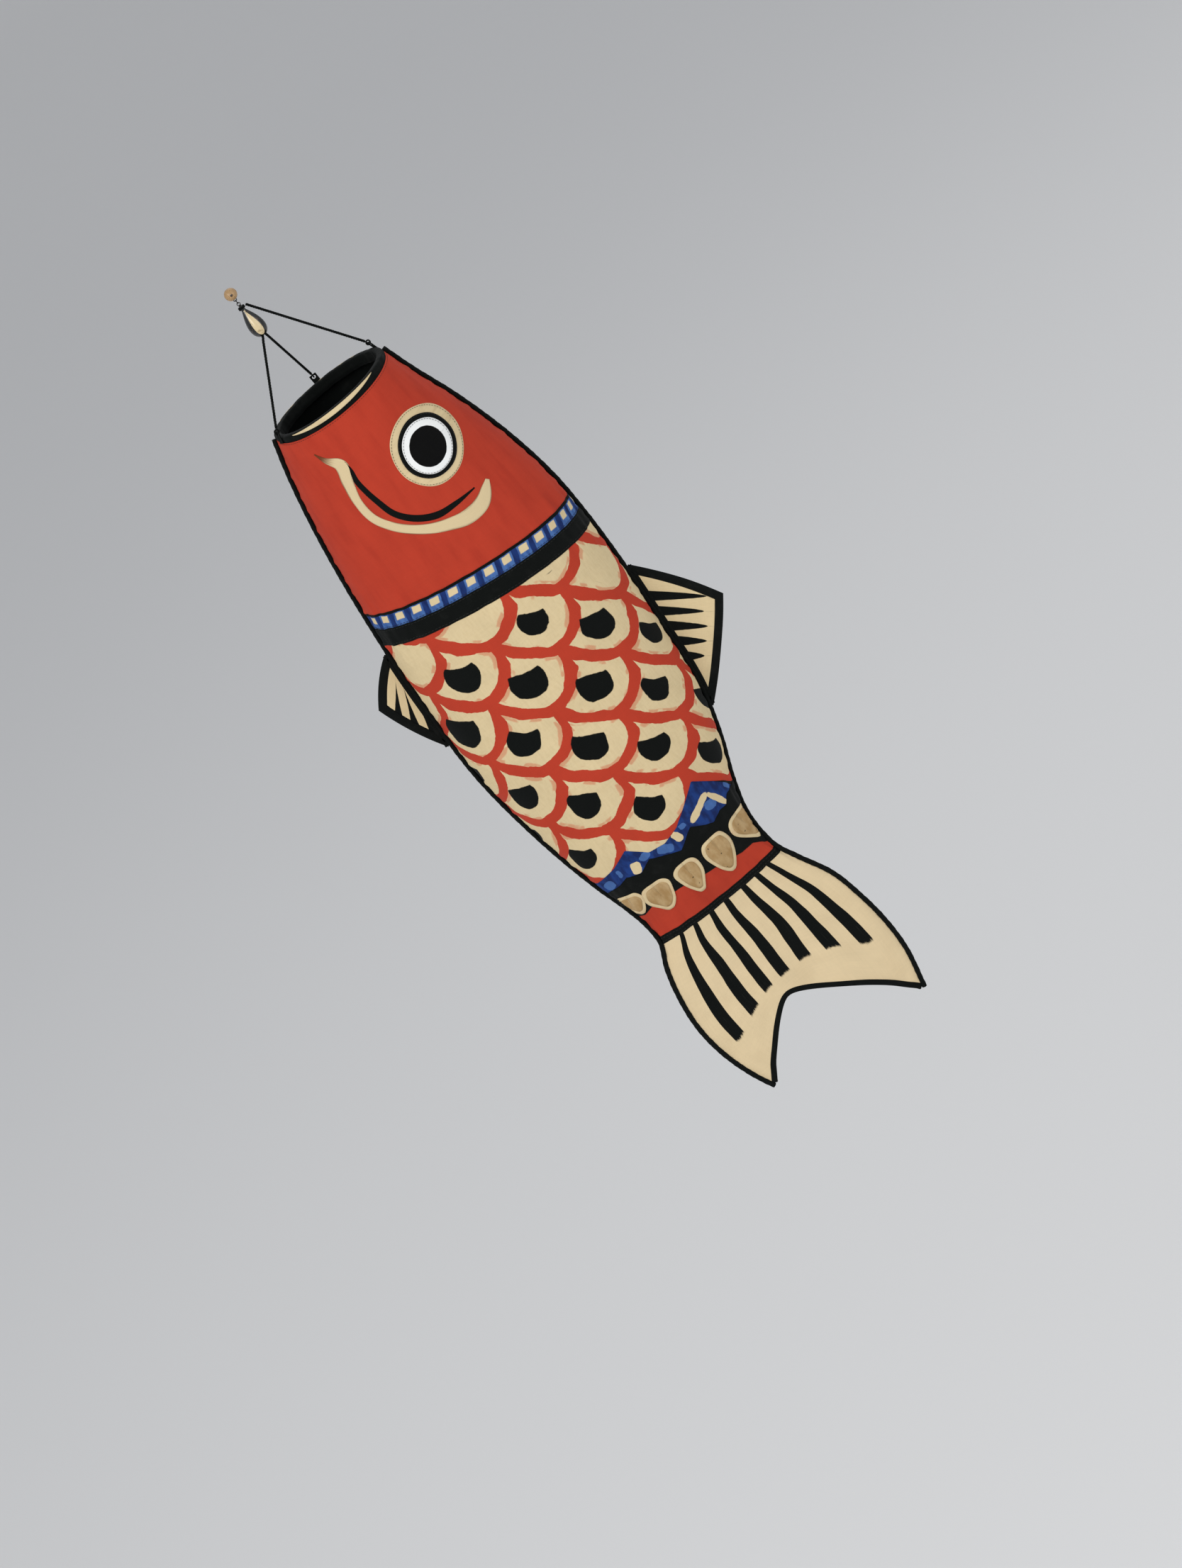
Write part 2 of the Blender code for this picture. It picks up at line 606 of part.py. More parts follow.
def tail_end(lean):
    """How far below the mouth the tail's trailing edge is: a notch between two tips."""
    away = math.hypot(lean + 0.16, 0.12) - 0.12
    reach = math.hypot(1.16, 0.12) - 0.12 if lean > -0.16 else math.hypot(0.84, 0.12) - 0.12
    tip = BACK_TIP if lean > -0.16 else BELLY_TIP
    return NOTCH + (tip - 0.003 - NOTCH) * away / reach


def tail():
    """Seam band, two tail panels open at the trailing edge, and the bindings of their edges."""
    band("tail_seam_band", STEM_END, TAIL_TOP, BLACK, 0.85)
    for label, side in SIDES:
        def place(u, v, side=side):
            degrees = -90 + 180 * u
            end = tail_end(math.sin(math.radians(degrees)))
            return cloth_point(TAIL_TOP + GAP / 2 + v * (end - TAIL_TOP - GAP), degrees, side)
        sheet("tail_panel_" + label, 20, 7, place, CREAM, 0.85)
        hem = []
        for degrees in np.linspace(-70, 71, 20):
            end = tail_end(math.sin(math.radians(degrees)))
            hem.append(cloth_point(end + TAPE - 0.0002, degrees, side, lift=WALL / 2))
        tube("tail_hem_" + label, hem, TAPE, BLACK, 0.8, sides=1)
    tube("tail_back_binding", seam_path(0.7720, BACK_TIP, 1, 14), PIPING, BLACK, 0.8, sides=1)
    tube("tail_belly_binding", seam_path(0.7670, BELLY_TIP, -1, 14), PIPING, BLACK, 0.8, sides=1)


pole_bead()
bead_staple()
link_ring()
swivel_eye()
toggle_drop()
drop_inlays()
neck_lashing()
mouth()
bridle()
head()
collar()
body()
fin("back_fin", 1, *BACK_FIN)
fin("belly_fin", -1, *BELLY_FIN)
stem()
tail()
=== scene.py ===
"""A carp streamer of printed cloth, hanging from a wooden bead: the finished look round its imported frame."""
import math

import bpy
import numpy as np
from mathutils import Matrix, Vector


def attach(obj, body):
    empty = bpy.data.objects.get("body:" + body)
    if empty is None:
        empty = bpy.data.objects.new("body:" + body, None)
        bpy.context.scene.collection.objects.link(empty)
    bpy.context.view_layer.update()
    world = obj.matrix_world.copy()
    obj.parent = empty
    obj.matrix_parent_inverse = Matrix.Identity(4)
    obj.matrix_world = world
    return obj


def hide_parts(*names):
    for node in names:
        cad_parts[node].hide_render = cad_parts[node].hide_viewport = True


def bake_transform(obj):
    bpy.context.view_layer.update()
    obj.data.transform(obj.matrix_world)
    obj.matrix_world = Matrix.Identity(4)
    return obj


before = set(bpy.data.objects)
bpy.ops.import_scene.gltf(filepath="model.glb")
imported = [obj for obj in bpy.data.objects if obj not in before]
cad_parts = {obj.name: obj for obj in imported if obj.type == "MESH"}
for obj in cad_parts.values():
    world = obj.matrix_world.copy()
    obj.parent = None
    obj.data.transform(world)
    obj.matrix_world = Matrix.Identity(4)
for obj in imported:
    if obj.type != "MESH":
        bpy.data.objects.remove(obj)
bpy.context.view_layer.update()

# ------------------------------------------------------------------ wooden bead
# The pole's line runs through this turned bead of light wood, and everything hangs from it.
# It is turned from a rod with a flat land at each end, cross bored and waxed.

BEAD_RADIUS = 0.0076
BEAD_LAND = 0.0070        # half height between the lands
BEAD_BORE = 0.0016
TAN_WOOD = (0.52, 0.33, 0.15)
DARK_WOOD = (0.30, 0.17, 0.07)


class Wire:
    """A value in a finish. Sums on it add Math nodes, and node() adds any other kind."""

    def __init__(self, tree, socket=None):
        self.tree = tree
        self.socket = socket

    def node(self, kind, settings=None, values=None, out=0):
        made = self.tree.nodes.new(kind)
        for key, value in (settings or {}).items():
            setattr(made, key, value)
        for key, value in (values or {}).items():
            feed(self.tree, made.inputs[key], value)
        return Wire(self.tree, made.outputs[out])

    def math(self, operation, *values):
        return self.node("ShaderNodeMath", {"operation": operation}, dict(enumerate(values)))

    def __add__(self, other):
        return self.math("ADD", self, other)

    def __radd__(self, other):
        return self.math("ADD", other, self)

    def __sub__(self, other):
        return self.math("SUBTRACT", self, other)

    def __rsub__(self, other):
        return self.math("SUBTRACT", other, self)

    def __mul__(self, other):
        return self.math("MULTIPLY", self, other)

    def __rmul__(self, other):
        return self.math("MULTIPLY", other, self)

    def __truediv__(self, other):
        return self.math("DIVIDE", self, other)

    def __rtruediv__(self, other):
        return self.math("DIVIDE", other, self)

    def __pow__(self, other):
        return self.math("POWER", self, other)

    def __abs__(self):
        return self.math("ABSOLUTE", self)


def feed(tree, socket, value):
    """Links a wire to a socket, or sets the socket to a plain value."""
    if isinstance(value, Wire):
        tree.links.new(value.socket, socket)
    elif isinstance(value, tuple) and len(value) == 3 and socket.type == "RGBA":
        socket.default_value = (*value, 1.0)
    else:
        socket.default_value = value


def new_finish(name, roughness, metallic=0.0, **shader_values):
    """A material with its Principled shader set, and a wire to build its nodes from."""
    material = bpy.data.materials.new(name)
    material.use_nodes = True
    shader = material.node_tree.nodes["Principled BSDF"]
    shader.inputs["Roughness"].default_value = roughness
    shader.inputs["Metallic"].default_value = metallic
    for key, value in shader_values.items():
        shader.inputs[key.replace("_", " ")].default_value = value
    return material, shader, Wire(material.node_tree)


def paint(look, shader, colour=None, roughness=None, height=None, bump=0.3, depth=0.0005):
    """Feeds a finish's colour, roughness and surface height to its shader."""
    if colour is not None:
        feed(look.tree, shader.inputs["Base Color"], colour)
    if roughness is not None:
        feed(look.tree, shader.inputs["Roughness"], roughness)
    if height is not None:
        bumped = look.node("ShaderNodeBump", {},
                           {"Strength": bump, "Distance": depth, "Height": height})
        feed(look.tree, shader.inputs["Normal"], bumped)


def mix(look, factor, first, second):
    """One colour fading into another as factor goes from 0 to 1."""
    return look.node("ShaderNodeMix", {"data_type": "RGBA"}, {0: factor, 6: first, 7: second}, out=2)


def soft_step(look, value, edge, width):
    """0 below the edge and 1 above it, with a soft change this wide."""
    return look.node("ShaderNodeMapRange", {"interpolation_type": "SMOOTHSTEP"},
                     {0: value, 1: edge - width / 2, 2: edge + width / 2})


def grain(look, vector, scale, detail=3.0, stretch=(1.0, 1.0, 1.0)):
    """Noise from 0 to 1 with features about 1 / scale across, drawn out along an axis."""
    drawn = look.node("ShaderNodeMapping", {}, {"Vector": vector, "Scale": stretch})
    return look.node("ShaderNodeTexNoise", {},
                     {"Vector": drawn, "Scale": scale, "Detail": detail})


def object_place(look):
    """The place on the object, in metres."""
    return look.node("ShaderNodeTexCoord", {}, out=3)


def dress(piece, *materials):
    """Gives a piece these materials and no other."""
    piece.data.materials.clear()
    for material in materials:
        piece.data.materials.append(material)
    return piece


def deselect():
    """Clears the selection, so that an operator acts only on what is added next."""
    if bpy.context.object and bpy.context.object.mode != "OBJECT":
        bpy.ops.object.mode_set(mode="OBJECT")
    bpy.ops.object.select_all(action="DESELECT")


def settle(piece, name, smooth_below=35):
    """Names a piece, moves its place into its mesh and shades it smooth but for real corners."""
    deselect()
    piece.select_set(True)
    bpy.context.view_layer.objects.active = piece
    bpy.ops.object.transform_apply(location=True, rotation=True, scale=True)
    bpy.ops.object.shade_smooth_by_angle(angle=math.radians(smooth_below))
    piece.name = name
    piece.data.name = name
    return piece


def apply_modifier(piece, kind, **settings):
    """Adds a modifier with these settings and applies it."""
    bpy.context.view_layer.objects.active = piece
    modifier = piece.modifiers.new(kind.lower(), kind)
    for key, value in settings.items():
        setattr(modifier, key, value)
    bpy.ops.object.modifier_apply(modifier=modifier.name)
    return piece


def cut_away(piece, tool):
    """Cuts the tool's shape out of a piece and throws the tool away."""
    apply_modifier(piece, "BOOLEAN", object=tool, operation="DIFFERENCE")
    bpy.data.objects.remove(tool, do_unlink=True)


def stand_in(piece, body, *nodes):
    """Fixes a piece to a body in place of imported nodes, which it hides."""
    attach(piece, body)
    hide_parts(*nodes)


def wood_finish(name, light, dark, roughness):
    """Turned wood: rings drawn out along Z, fine pores and a thin coat of wax."""
    material, shader, look = new_finish(name, roughness, Coat_Weight=0.25, Coat_Roughness=0.3)
    place = object_place(look)
    rings = look.node("ShaderNodeTexWave", {"wave_type": "BANDS", "bands_direction": "X"},
                      {"Vector": place, "Scale": 180.0, "Distortion": 6.0, "Detail": 2.0,
                       "Detail Scale": 1.5})
    pores = grain(look, place, 900.0, 2.0, (1.0, 1.0, 0.12))
    tone = mix(look, rings * 0.7 + pores * 0.3, dark, light)
    paint(look, shader, tone, 0.35 + pores * 0.25, pores, 0.25, 0.0002)
    return material


deselect()
bpy.ops.mesh.primitive_uv_sphere_add(segments=48, ring_count=32, radius=BEAD_RADIUS)
bead = bpy.context.object
bpy.ops.object.mode_set(mode="EDIT")
for level, up in ((BEAD_LAND, 1), (-BEAD_LAND, -1)):
    bpy.ops.mesh.select_all(action="SELECT")
    bpy.ops.mesh.bisect(plane_co=(0, 0, level), plane_no=(0, 0, up), use_fill=True, clear_outer=True)
bpy.ops.object.mode_set(mode="OBJECT")
deselect()
bpy.ops.mesh.primitive_cylinder_add(vertices=32, radius=BEAD_BORE, depth=0.03,
                                    rotation=(math.pi / 2, 0, 0))
cut_away(bead, bpy.context.object)
settle(bead, "turned_bead", 30)
apply_modifier(bead, "BEVEL", width=0.00025, segments=2, limit_method="ANGLE",
               angle_limit=math.radians(35))
dress(bead, wood_finish("waxed_wood", TAN_WOOD, DARK_WOOD, 0.45))
stand_in(bead, "hanger", "pole_bead")

# ------------------------------------------------------------------ hanging gear
# A staple driven into the bead carries a ring, and the ring a swivel eye whose ball end turns
# inside the toggle. All three are bent or turned from blackened wire, rubbed bright in patches.

BLACKENED = (0.012, 0.012, 0.012)
RUBBED = (0.16, 0.14, 0.11)
STEEL = (0.55, 0.55, 0.56)
DULL_STEEL = (0.25, 0.25, 0.26)


def metal_finish(name, bright, dull, roughness):
    """Wire that is bright where it rubs and dull in patches."""
    material, shader, look = new_finish(name, roughness, 1.0)
    patches = grain(look, object_place(look), 700.0, 3.0)
    tone = mix(look, soft_step(look, patches, 0.40, 0.25), bright, dull)
    paint(look, shader, tone, roughness + patches * 0.25, patches, 0.15, 0.0001)
    return material


blackened = metal_finish("blackened_wire", RUBBED, BLACKENED, 0.38)
for node in ("bead_staple", "link_ring", "swivel_eye"):
    dress(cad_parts[node], blackened)
dress(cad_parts["hoop_ferrule"], metal_finish("crimped_steel", STEEL, DULL_STEEL, 0.35))

# ------------------------------------------------------------------ toggle
# A drop-shaped toggle of black lacquered wood gathers the three bridle cords. A cream drop is
# inlaid in each of its two faces, and a few turns of cord are lashed round its neck.

DROP_TOP = -0.0174
DROP_LENGTH = 0.0434
DROP_RADIUS = 0.0101
DROP_NECK = 0.0027
DROP_FULLEST = 0.727      # height of the drop's outline curve at its fullest, before scaling
SOCKET_RADIUS = 0.0046    # where two cords go in at its foot
SOCKET_TOP = -0.0495
INLAY_TOP = -0.0232
INLAY_LENGTH = 0.0340
INLAY_WIDTH = 0.0048
BLACK = (0.0016, 0.0026, 0.0020)
CREAM = (0.72, 0.575, 0.335)


def drop_outline(share):
    """Half width of a drop at a share of its length, 1 at the fullest."""
    angle = np.arccos(np.clip(1 - 2 * share, -1, 1))
    return np.sin(angle) * np.sin(angle / 2)**1.3 / DROP_FULLEST


def drop_radius(z):
    """Radius of the toggle at a level: a neck that swells into a drop."""
    share = (DROP_TOP - z) / DROP_LENGTH
    swell = DROP_RADIUS * drop_outline(share)
    return np.where(share < 0.5, np.maximum(swell, DROP_NECK), swell)


def turned(name, profile, steps=48):
    """A shape turned about Z from a profile of (radius, z), top to bottom."""
    deselect()
    bpy.ops.mesh.primitive_plane_add(size=1)
    piece = bpy.context.object
    bpy.ops.object.mode_set(mode="EDIT")
    bpy.ops.mesh.select_all(action="SELECT")
    bpy.ops.mesh.delete(type="VERT")
    bpy.ops.object.mode_set(mode="OBJECT")
    piece.data.from_pydata([(r, 0, z) for r, z in profile],
                           [(i, i + 1) for i in range(len(profile) - 1)], [])
    bpy.ops.object.mode_set(mode="EDIT")
    bpy.ops.mesh.select_all(action="SELECT")
    bpy.ops.mesh.spin(steps=steps, angle=math.tau, center=(0, 0, 0), axis=(0, 0, 1))
    bpy.ops.mesh.select_all(action="SELECT")
    bpy.ops.mesh.remove_doubles(threshold=0.000004)
    bpy.ops.mesh.normals_make_consistent(inside=False)
    bpy.ops.object.mode_set(mode="OBJECT")
    return settle(piece, name)


def lacquer_finish(name, colour, rub, roughness=0.22):
    """Brushed lacquer: faint brush lines, and paint rubbed thin here and there."""
    material, shader, look = new_finish(name, roughness, Coat_Weight=0.5, Coat_Roughness=0.12)
    place = object_place(look)
    strokes = grain(look, place, 500.0, 3.0, (1.0, 1.0, 0.15))
    worn = soft_step(look, grain(look, place, 220.0, 4.0), 0.66, 0.08)
    paint(look, shader, mix(look, worn, colour, rub), roughness + strokes * 0.2, strokes, 0.2, 0.0002)
    return material


levels = DROP_TOP - DROP_LENGTH * (1 - np.cos(np.linspace(0, math.pi, 40))) / 2
profile = [(0, DROP_TOP)] + [(float(drop_radius(z)), z) for z in levels[:-1]]
foot = [(r, z) for r, z in profile if r > SOCKET_RADIUS or z > levels[20]]
profile = foot + [(SOCKET_RADIUS, foot[-1][1]), (SOCKET_RADIUS * 0.93, SOCKET_TOP - 0.0005), (0, SOCKET_TOP)]
drop = turned("toggle", profile)
dress(drop, lacquer_finish("black_lacquer", BLACK, (0.05, 0.03, 0.02)))
stand_in(drop, "head", "toggle_drop")

LEFT, RIGHT = -1, 1
SIDES = (("left", LEFT), ("right", RIGHT))
inlay_look = lacquer_finish("cream_inlay", CREAM, (0.45, 0.33, 0.16), 0.35)
for label, side in SIDES:
    deselect()
    bpy.ops.mesh.primitive_circle_add(vertices=48, radius=1.0, fill_type="TRIFAN")
    inlay = bpy.context.object
    bpy.ops.object.mode_set(mode="EDIT")
    bpy.ops.mesh.select_all(action="SELECT")
    bpy.ops.mesh.subdivide(number_cuts=3)
    bpy.ops.object.mode_set(mode="OBJECT")
    for vert in inlay.data.vertices:
        reach = min(math.hypot(vert.co.x, vert.co.y), 1.0)
        turn = math.atan2(vert.co.x, vert.co.y)
        edge = INLAY_WIDTH * float(drop_outline((1 - math.cos(turn)) / 2))
        x = reach * math.copysign(edge, vert.co.x)
        middle = INLAY_TOP - 0.62 * INLAY_LENGTH
        rim_z = INLAY_TOP - INLAY_LENGTH * (1 - math.cos(turn)) / 2
        z = middle + reach * (rim_z - middle)
        radius = float(drop_radius(z))
        stand = 0.0004 + 0.0007 * math.sqrt(1 - reach * reach)
        vert.co = (x, side * (math.sqrt(max(radius**2 - x * x, 0)) + stand), z)
    bpy.ops.object.mode_set(mode="EDIT")
    bpy.ops.mesh.select_all(action="SELECT")
    bpy.ops.mesh.remove_doubles(threshold=0.00001)
    bpy.ops.mesh.normals_make_consistent(inside=False)
    if sum(f.normal.y for f in inlay.data.polygons) * side < 0:
        bpy.ops.mesh.flip_normals()
    bpy.ops.object.mode_set(mode="OBJECT")
    apply_modifier(inlay, "SOLIDIFY", thickness=0.0008, offset=-1)
    settle(inlay, "inlay_" + label, 50)
    dress(inlay, inlay_look)
    stand_in(inlay, "head", "drop_inlay_" + label)

# ------------------------------------------------------------------ bridle cords
# Three thin black cords, each laid up from three strands, run taut from the toggle to the mouth.
# The back cord leaves the lashing at the toggle's neck, the other two its foot.

MOUTH_Z = -0.159          # level of the mouth, under the bead
GAP = 0.0004
PIPING = 0.0045
MOUTH_MIDDLE = 0.0132
MOUTH_HALF = 0.0830
CORD = 0.0032
CORD_STEP = 0.0019        # of the two cords in the toggle's foot, each side of the middle
CORD_TOP = -0.0510        # of the two cords, inside the toggle's foot
FOOT_LEVEL = -0.0592      # where they leave it
BACK_CORD_TOP = (0.0065, -0.0200)       # out from the lashing, and up
STRAND_TURN = 0.0095      # one full turn of the strands
LASH_RADIUS = 0.0038
LASH_TOP = -0.0184
LASH_DEPTH = 0.0027
LASH_TURNS = 3.6
# Degrees from the right flank towards the back, and how far the tab stands off the binding
CORD_PLACES = {"back": (70.0, 0.0006), "right": (0.0, 0.0026), "belly": (-108.0, 0.0006)}
TAB_LEAN = math.radians(15.5)
TAB_THICK = 0.0012
TAB_BAR = 0.0088
TAB_TOP = 0.0094
TAB_BOTTOM = -0.0060
TAB_WIDTH = 0.0090
LOOP_RADIUS = 0.0026
LOOP_WIRE = 0.0010


def tab_frame(name):
    """Matrix of a webbing tab at the mouth: X along the rim, Y out of the cloth, Z up along it."""
    degrees, stand_off = CORD_PLACES[name]
    around = Matrix.Rotation(-math.radians(degrees), 4, "Z")
    rim = Matrix.Translation((0, MOUTH_HALF - PIPING - GAP, 0))
    off = Matrix.Translation((0, stand_off + TAB_THICK / 2, 0))
    lean = Matrix.Rotation(TAB_LEAN, 4, "X")
    return Matrix.Translation((MOUTH_MIDDLE, 0, MOUTH_Z)) @ around @ rim @ lean @ off


def bar_middle(name):
    """Middle of a tab's top bar, where its cord's loop goes round."""
    return tab_frame(name) @ Vector((0, 0, TAB_BAR))


def unit(vectors):
    """The same directions, each brought to a length of one."""
    return vectors / np.linalg.norm(vectors, axis=-1, keepdims=True)


def runs_along(line):
    """The distance along a line to each of its points."""
    return np.concatenate([[0], np.cumsum(np.linalg.norm(np.diff(line, axis=0), axis=1))])


def smooth_between(knots, values, slopes, places):
    """Values at these places on a smooth curve through the knots."""
    i = np.clip(np.searchsorted(knots, places, side="right") - 1, 0, len(knots) - 2)
    step = (knots[i + 1] - knots[i])[..., None]
    t = (places - knots[i])[..., None] / step
    return (values[i] * (2 * t**3 - 3 * t**2 + 1) + slopes[i] * step * (t**3 - 2 * t**2 + t)
            + values[i + 1] * (3 * t**2 - 2 * t**3) + slopes[i + 1] * step * (t**3 - t**2))


def even_points(corners, spacing):
    """Points at about this spacing along a smooth line through the corners."""
    corners = np.array([tuple(c) for c in corners], float)
    knots = runs_along(corners)
    places = np.linspace(0, knots[-1], max(int(knots[-1] / spacing), 2) + 1)
    return smooth_between(knots, corners, np.gradient(corners, knots, axis=0), places)


def carried_frames(path):
    """Two directions across the path at each point, without twist."""
    along = unit(np.gradient(path, axis=0))
    across = [unit(np.cross(along[0], (0.31, 0.83, 0.46)))]
    for direction in along[1:]:
        across.append(unit(across[-1] - direction * np.dot(across[-1], direction)))
    across = np.array(across)
    return across, np.cross(along, across)


def mesh_object(name, points, faces):
    """A named mesh in the scene, its normals turned outwards."""
    mesh = bpy.data.meshes.new(name)
    mesh.from_pydata([tuple(p) for p in points], [], faces)
    piece = bpy.data.objects.new(name, mesh)
    bpy.context.scene.collection.objects.link(piece)
    deselect()
    piece.select_set(True)
    bpy.context.view_layer.objects.active = piece
    bpy.ops.object.mode_set(mode="EDIT")
    bpy.ops.mesh.select_all(action="SELECT")
    bpy.ops.mesh.normals_make_consistent(inside=False)
    bpy.ops.object.mode_set(mode="OBJECT")
    bpy.ops.object.shade_smooth_by_angle(angle=math.radians(60))
    return piece


def ring_faces(rings, sides, first=0):
    """Faces of a capped tube of this many rings of points."""
    faces = []
    for i in range(rings - 1):
        for j in range(sides):
            a, b = first + i * sides + j, first + i * sides + (j + 1) % sides
            faces.append((a, b, b + sides, a + sides))
    faces.append([first + j for j in range(sides)][::-1])
    faces.append([first + (rings - 1) * sides + j for j in range(sides)])
    return faces


def tube_parts(path, radius, sides, first=0):
    """Points and faces of a capped tube along a path; radius may vary along it."""
    across, up = carried_frames(path)
    turns = np.linspace(0, math.tau, sides, endpoint=False)
    radius = np.broadcast_to(radius, len(path))
    ring = across[:, None] * np.cos(turns)[None, :, None] + up[:, None] * np.sin(turns)[None, :, None]
    points = (path[:, None] + ring * radius[:, None, None]).reshape(-1, 3)
    return points, ring_faces(len(path), sides, first)


def laid_cord(name, path, diameter=CORD, turn=STRAND_TURN):
    """Three strands twisted round the path."""
    across, up = carried_frames(path)
    run = runs_along(path)
    strand = diameter * 0.27
    points, faces = [], []
    for k in range(3):
        angle = math.tau * (run / turn + k / 3)
        line = path + (across * np.cos(angle)[:, None] + up * np.sin(angle)[:, None]) * strand * 0.92
        more, sides = tube_parts(line, strand, 7, first=sum(len(p) for p in points))
        points.append(more)
        faces += sides
    return mesh_object(name, np.concatenate(points), faces)


def fibre_finish(name, colour, dusty, scale=1500.0, roughness=0.85):
    """Fine fibres over dyed cord or webbing, a little dusty on top."""
    material, shader, look = new_finish(name, roughness, Specular_IOR_Level=0.12)
    place = object_place(look)
    fibres = grain(look, place, scale, 3.0)
    dust = soft_step(look, grain(look, place, 90.0, 3.0), 0.6, 0.3)
    paint(look, shader, mix(look, fibres * 0.35 + dust * 0.25, colour, dusty), None, fibres, 0.5, 0.0003)
    return material


DUSTY_BLACK = (0.009, 0.010, 0.009)
black_cord = fibre_finish("black_cord", BLACK, DUSTY_BLACK)
routes = {}
for name, x in (("right", CORD_STEP), ("belly", -CORD_STEP)):
    lip = Vector((x, 0, FOOT_LEVEL))
    lead = lip + (bar_middle(name) - lip).normalized() * 0.008
    routes[name] = [Vector((x, 0, CORD_TOP)), lip, lead]
aside = Vector((*bar_middle("back").xy, 0)).normalized()
routes["back"] = [Vector((0, 0, BACK_CORD_TOP[1])) + aside * BACK_CORD_TOP[0]]
for name, corners in routes.items():
    target = bar_middle(name)
    end = target + (corners[-1] - target).normalized() * (LOOP_RADIUS + LOOP_WIRE + GAP)
    path = even_points(corners + [corners[-1].lerp(end, 0.5), end], 0.0006)
    cord = dress(laid_cord("cord_" + name, path), black_cord)
    stand_in(cord, "head", "bridle_cord_" + name)

turns = np.linspace(0, math.tau * LASH_TURNS, 150)
lash = np.stack([LASH_RADIUS * np.cos(turns), LASH_RADIUS * np.sin(turns),
                 LASH_TOP - LASH_DEPTH * turns / turns[-1]], 1)
lashing = dress(laid_cord("lashing", lash, 0.0012, 0.004), black_cord)
stand_in(lashing, "head", "neck_lashing")

# ------------------------------------------------------------------ bridle tabs and loops
# Each cord is tied in a loop round the bar of a folded webbing tab, which is sewn to the black
# binding of the mouth with two rows of stitches.

STITCH = 0.0032           # length of one stitch
STITCH_STEP = 0.0046
THREAD = 0.00032          # radius of the sewing thread
GREY_THREAD = (0.020, 0.021, 0.020)
TAB_EYE = (0.0024, 0.0058)              # radius of the hole in a tab, and its level


def stitch_run(name, runs, finish, stitch=STITCH, step=STITCH_STEP, thread=THREAD):
    """Rows of sewn stitches lying on the given lines; each is a short thread with its ends sunk."""
    points, faces, count = [], [], 0
    for line in runs:
        run = runs_along(line)
        for start in np.arange(step * 0.3, run[-1] - stitch, step):
            at = start + stitch * np.array([0.0, 0.2, 0.5, 0.8, 1.0])
            piece = np.stack([np.interp(at, run, line[:, k]) for k in range(3)], 1)
            more, sides = tube_parts(piece, thread * np.array([0.4, 0.9, 1.0, 0.9, 0.4]), 6, first=count)
            points.append(more)
            faces += sides
            count += len(more)
    return dress(mesh_object(name, np.concatenate(points), faces), finish)


dark_thread = fibre_finish("dark_thread", GREY_THREAD, (0.05, 0.05, 0.045), 2500.0)
webbing = fibre_finish("black_webbing", BLACK, (0.012, 0.013, 0.012), 1100.0)
for name in CORD_PLACES:
    place = tab_frame(name)
    deselect()
    bpy.ops.mesh.primitive_cube_add(size=1)
    tab = bpy.context.object
    tab.matrix_world = place @ Matrix.Translation((0, 0, (TAB_TOP + TAB_BOTTOM) / 2)) @ Matrix.Diagonal(
        (TAB_WIDTH, TAB_THICK, TAB_TOP - TAB_BOTTOM, 1))
    bpy.ops.object.transform_apply(location=True, rotation=True, scale=True)
    deselect()
    bpy.ops.mesh.primitive_cylinder_add(vertices=28, radius=TAB_EYE[0], depth=0.006)
    hole = bpy.context.object
    upright = Matrix.Rotation(math.pi / 2, 4, "X")
    hole.matrix_world = place @ Matrix.Translation((0, 0, TAB_EYE[1])) @ upright
    cut_away(tab, hole)
    apply_modifier(tab, "BEVEL", width=0.0003, segments=2, limit_method="ANGLE")
    settle(tab, "tab_" + name)
    dress(tab, webbing)
    stand_in(tab, "head", "bridle_tab_" + name)
    rows = [np.array([tuple(place @ Vector((x, TAB_THICK / 2 + 0.0001, z))) for z in (0.0015, -0.0052)])
            for x in (-0.0033, 0.0033)]
    sewn = stitch_run("tab_stitches_" + name, rows, dark_thread, 0.0018, 0.0024, 0.00025)
    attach(sewn, "head")
    turns = np.linspace(0, math.tau, 60)
    ring = [tuple(place @ Vector((0, LOOP_RADIUS * math.cos(t), TAB_BAR + LOOP_RADIUS * math.sin(t))))
            for t in turns]
    loop = dress(laid_cord("loop_" + name, np.array(ring), 0.0019, 0.0052), black_cord)
    stand_in(loop, "head", "cord_loop_" + name)

# ------------------------------------------------------------------ the filled cloth
# The fish is two printed flanks of light cotton, sewn along the back and the belly and filled by
# the wind. Its form is one table of sections; every cloth piece below is laid on it.

WALL = 0.0016             # from the form's inner face to the cloth's outer face
CLOTH = 0.0008            # thickness of the cloth itself
BINDING_HEIGHT = 0.013
COLLAR_TOP = 0.2470       # distances below the mouth
COLLAR_MIDDLE = 0.2675
COLLAR_END = 0.2890
BORDER_TOP = 0.6630
BORDER_MIDDLE = 0.6810
STEM_TOP = 0.7000
STEM_END = 0.7600
TAIL_TOP = 0.7680
NOTCH = 0.9100
BELLY_TIP = 0.9930
BACK_TIP = 1.0190
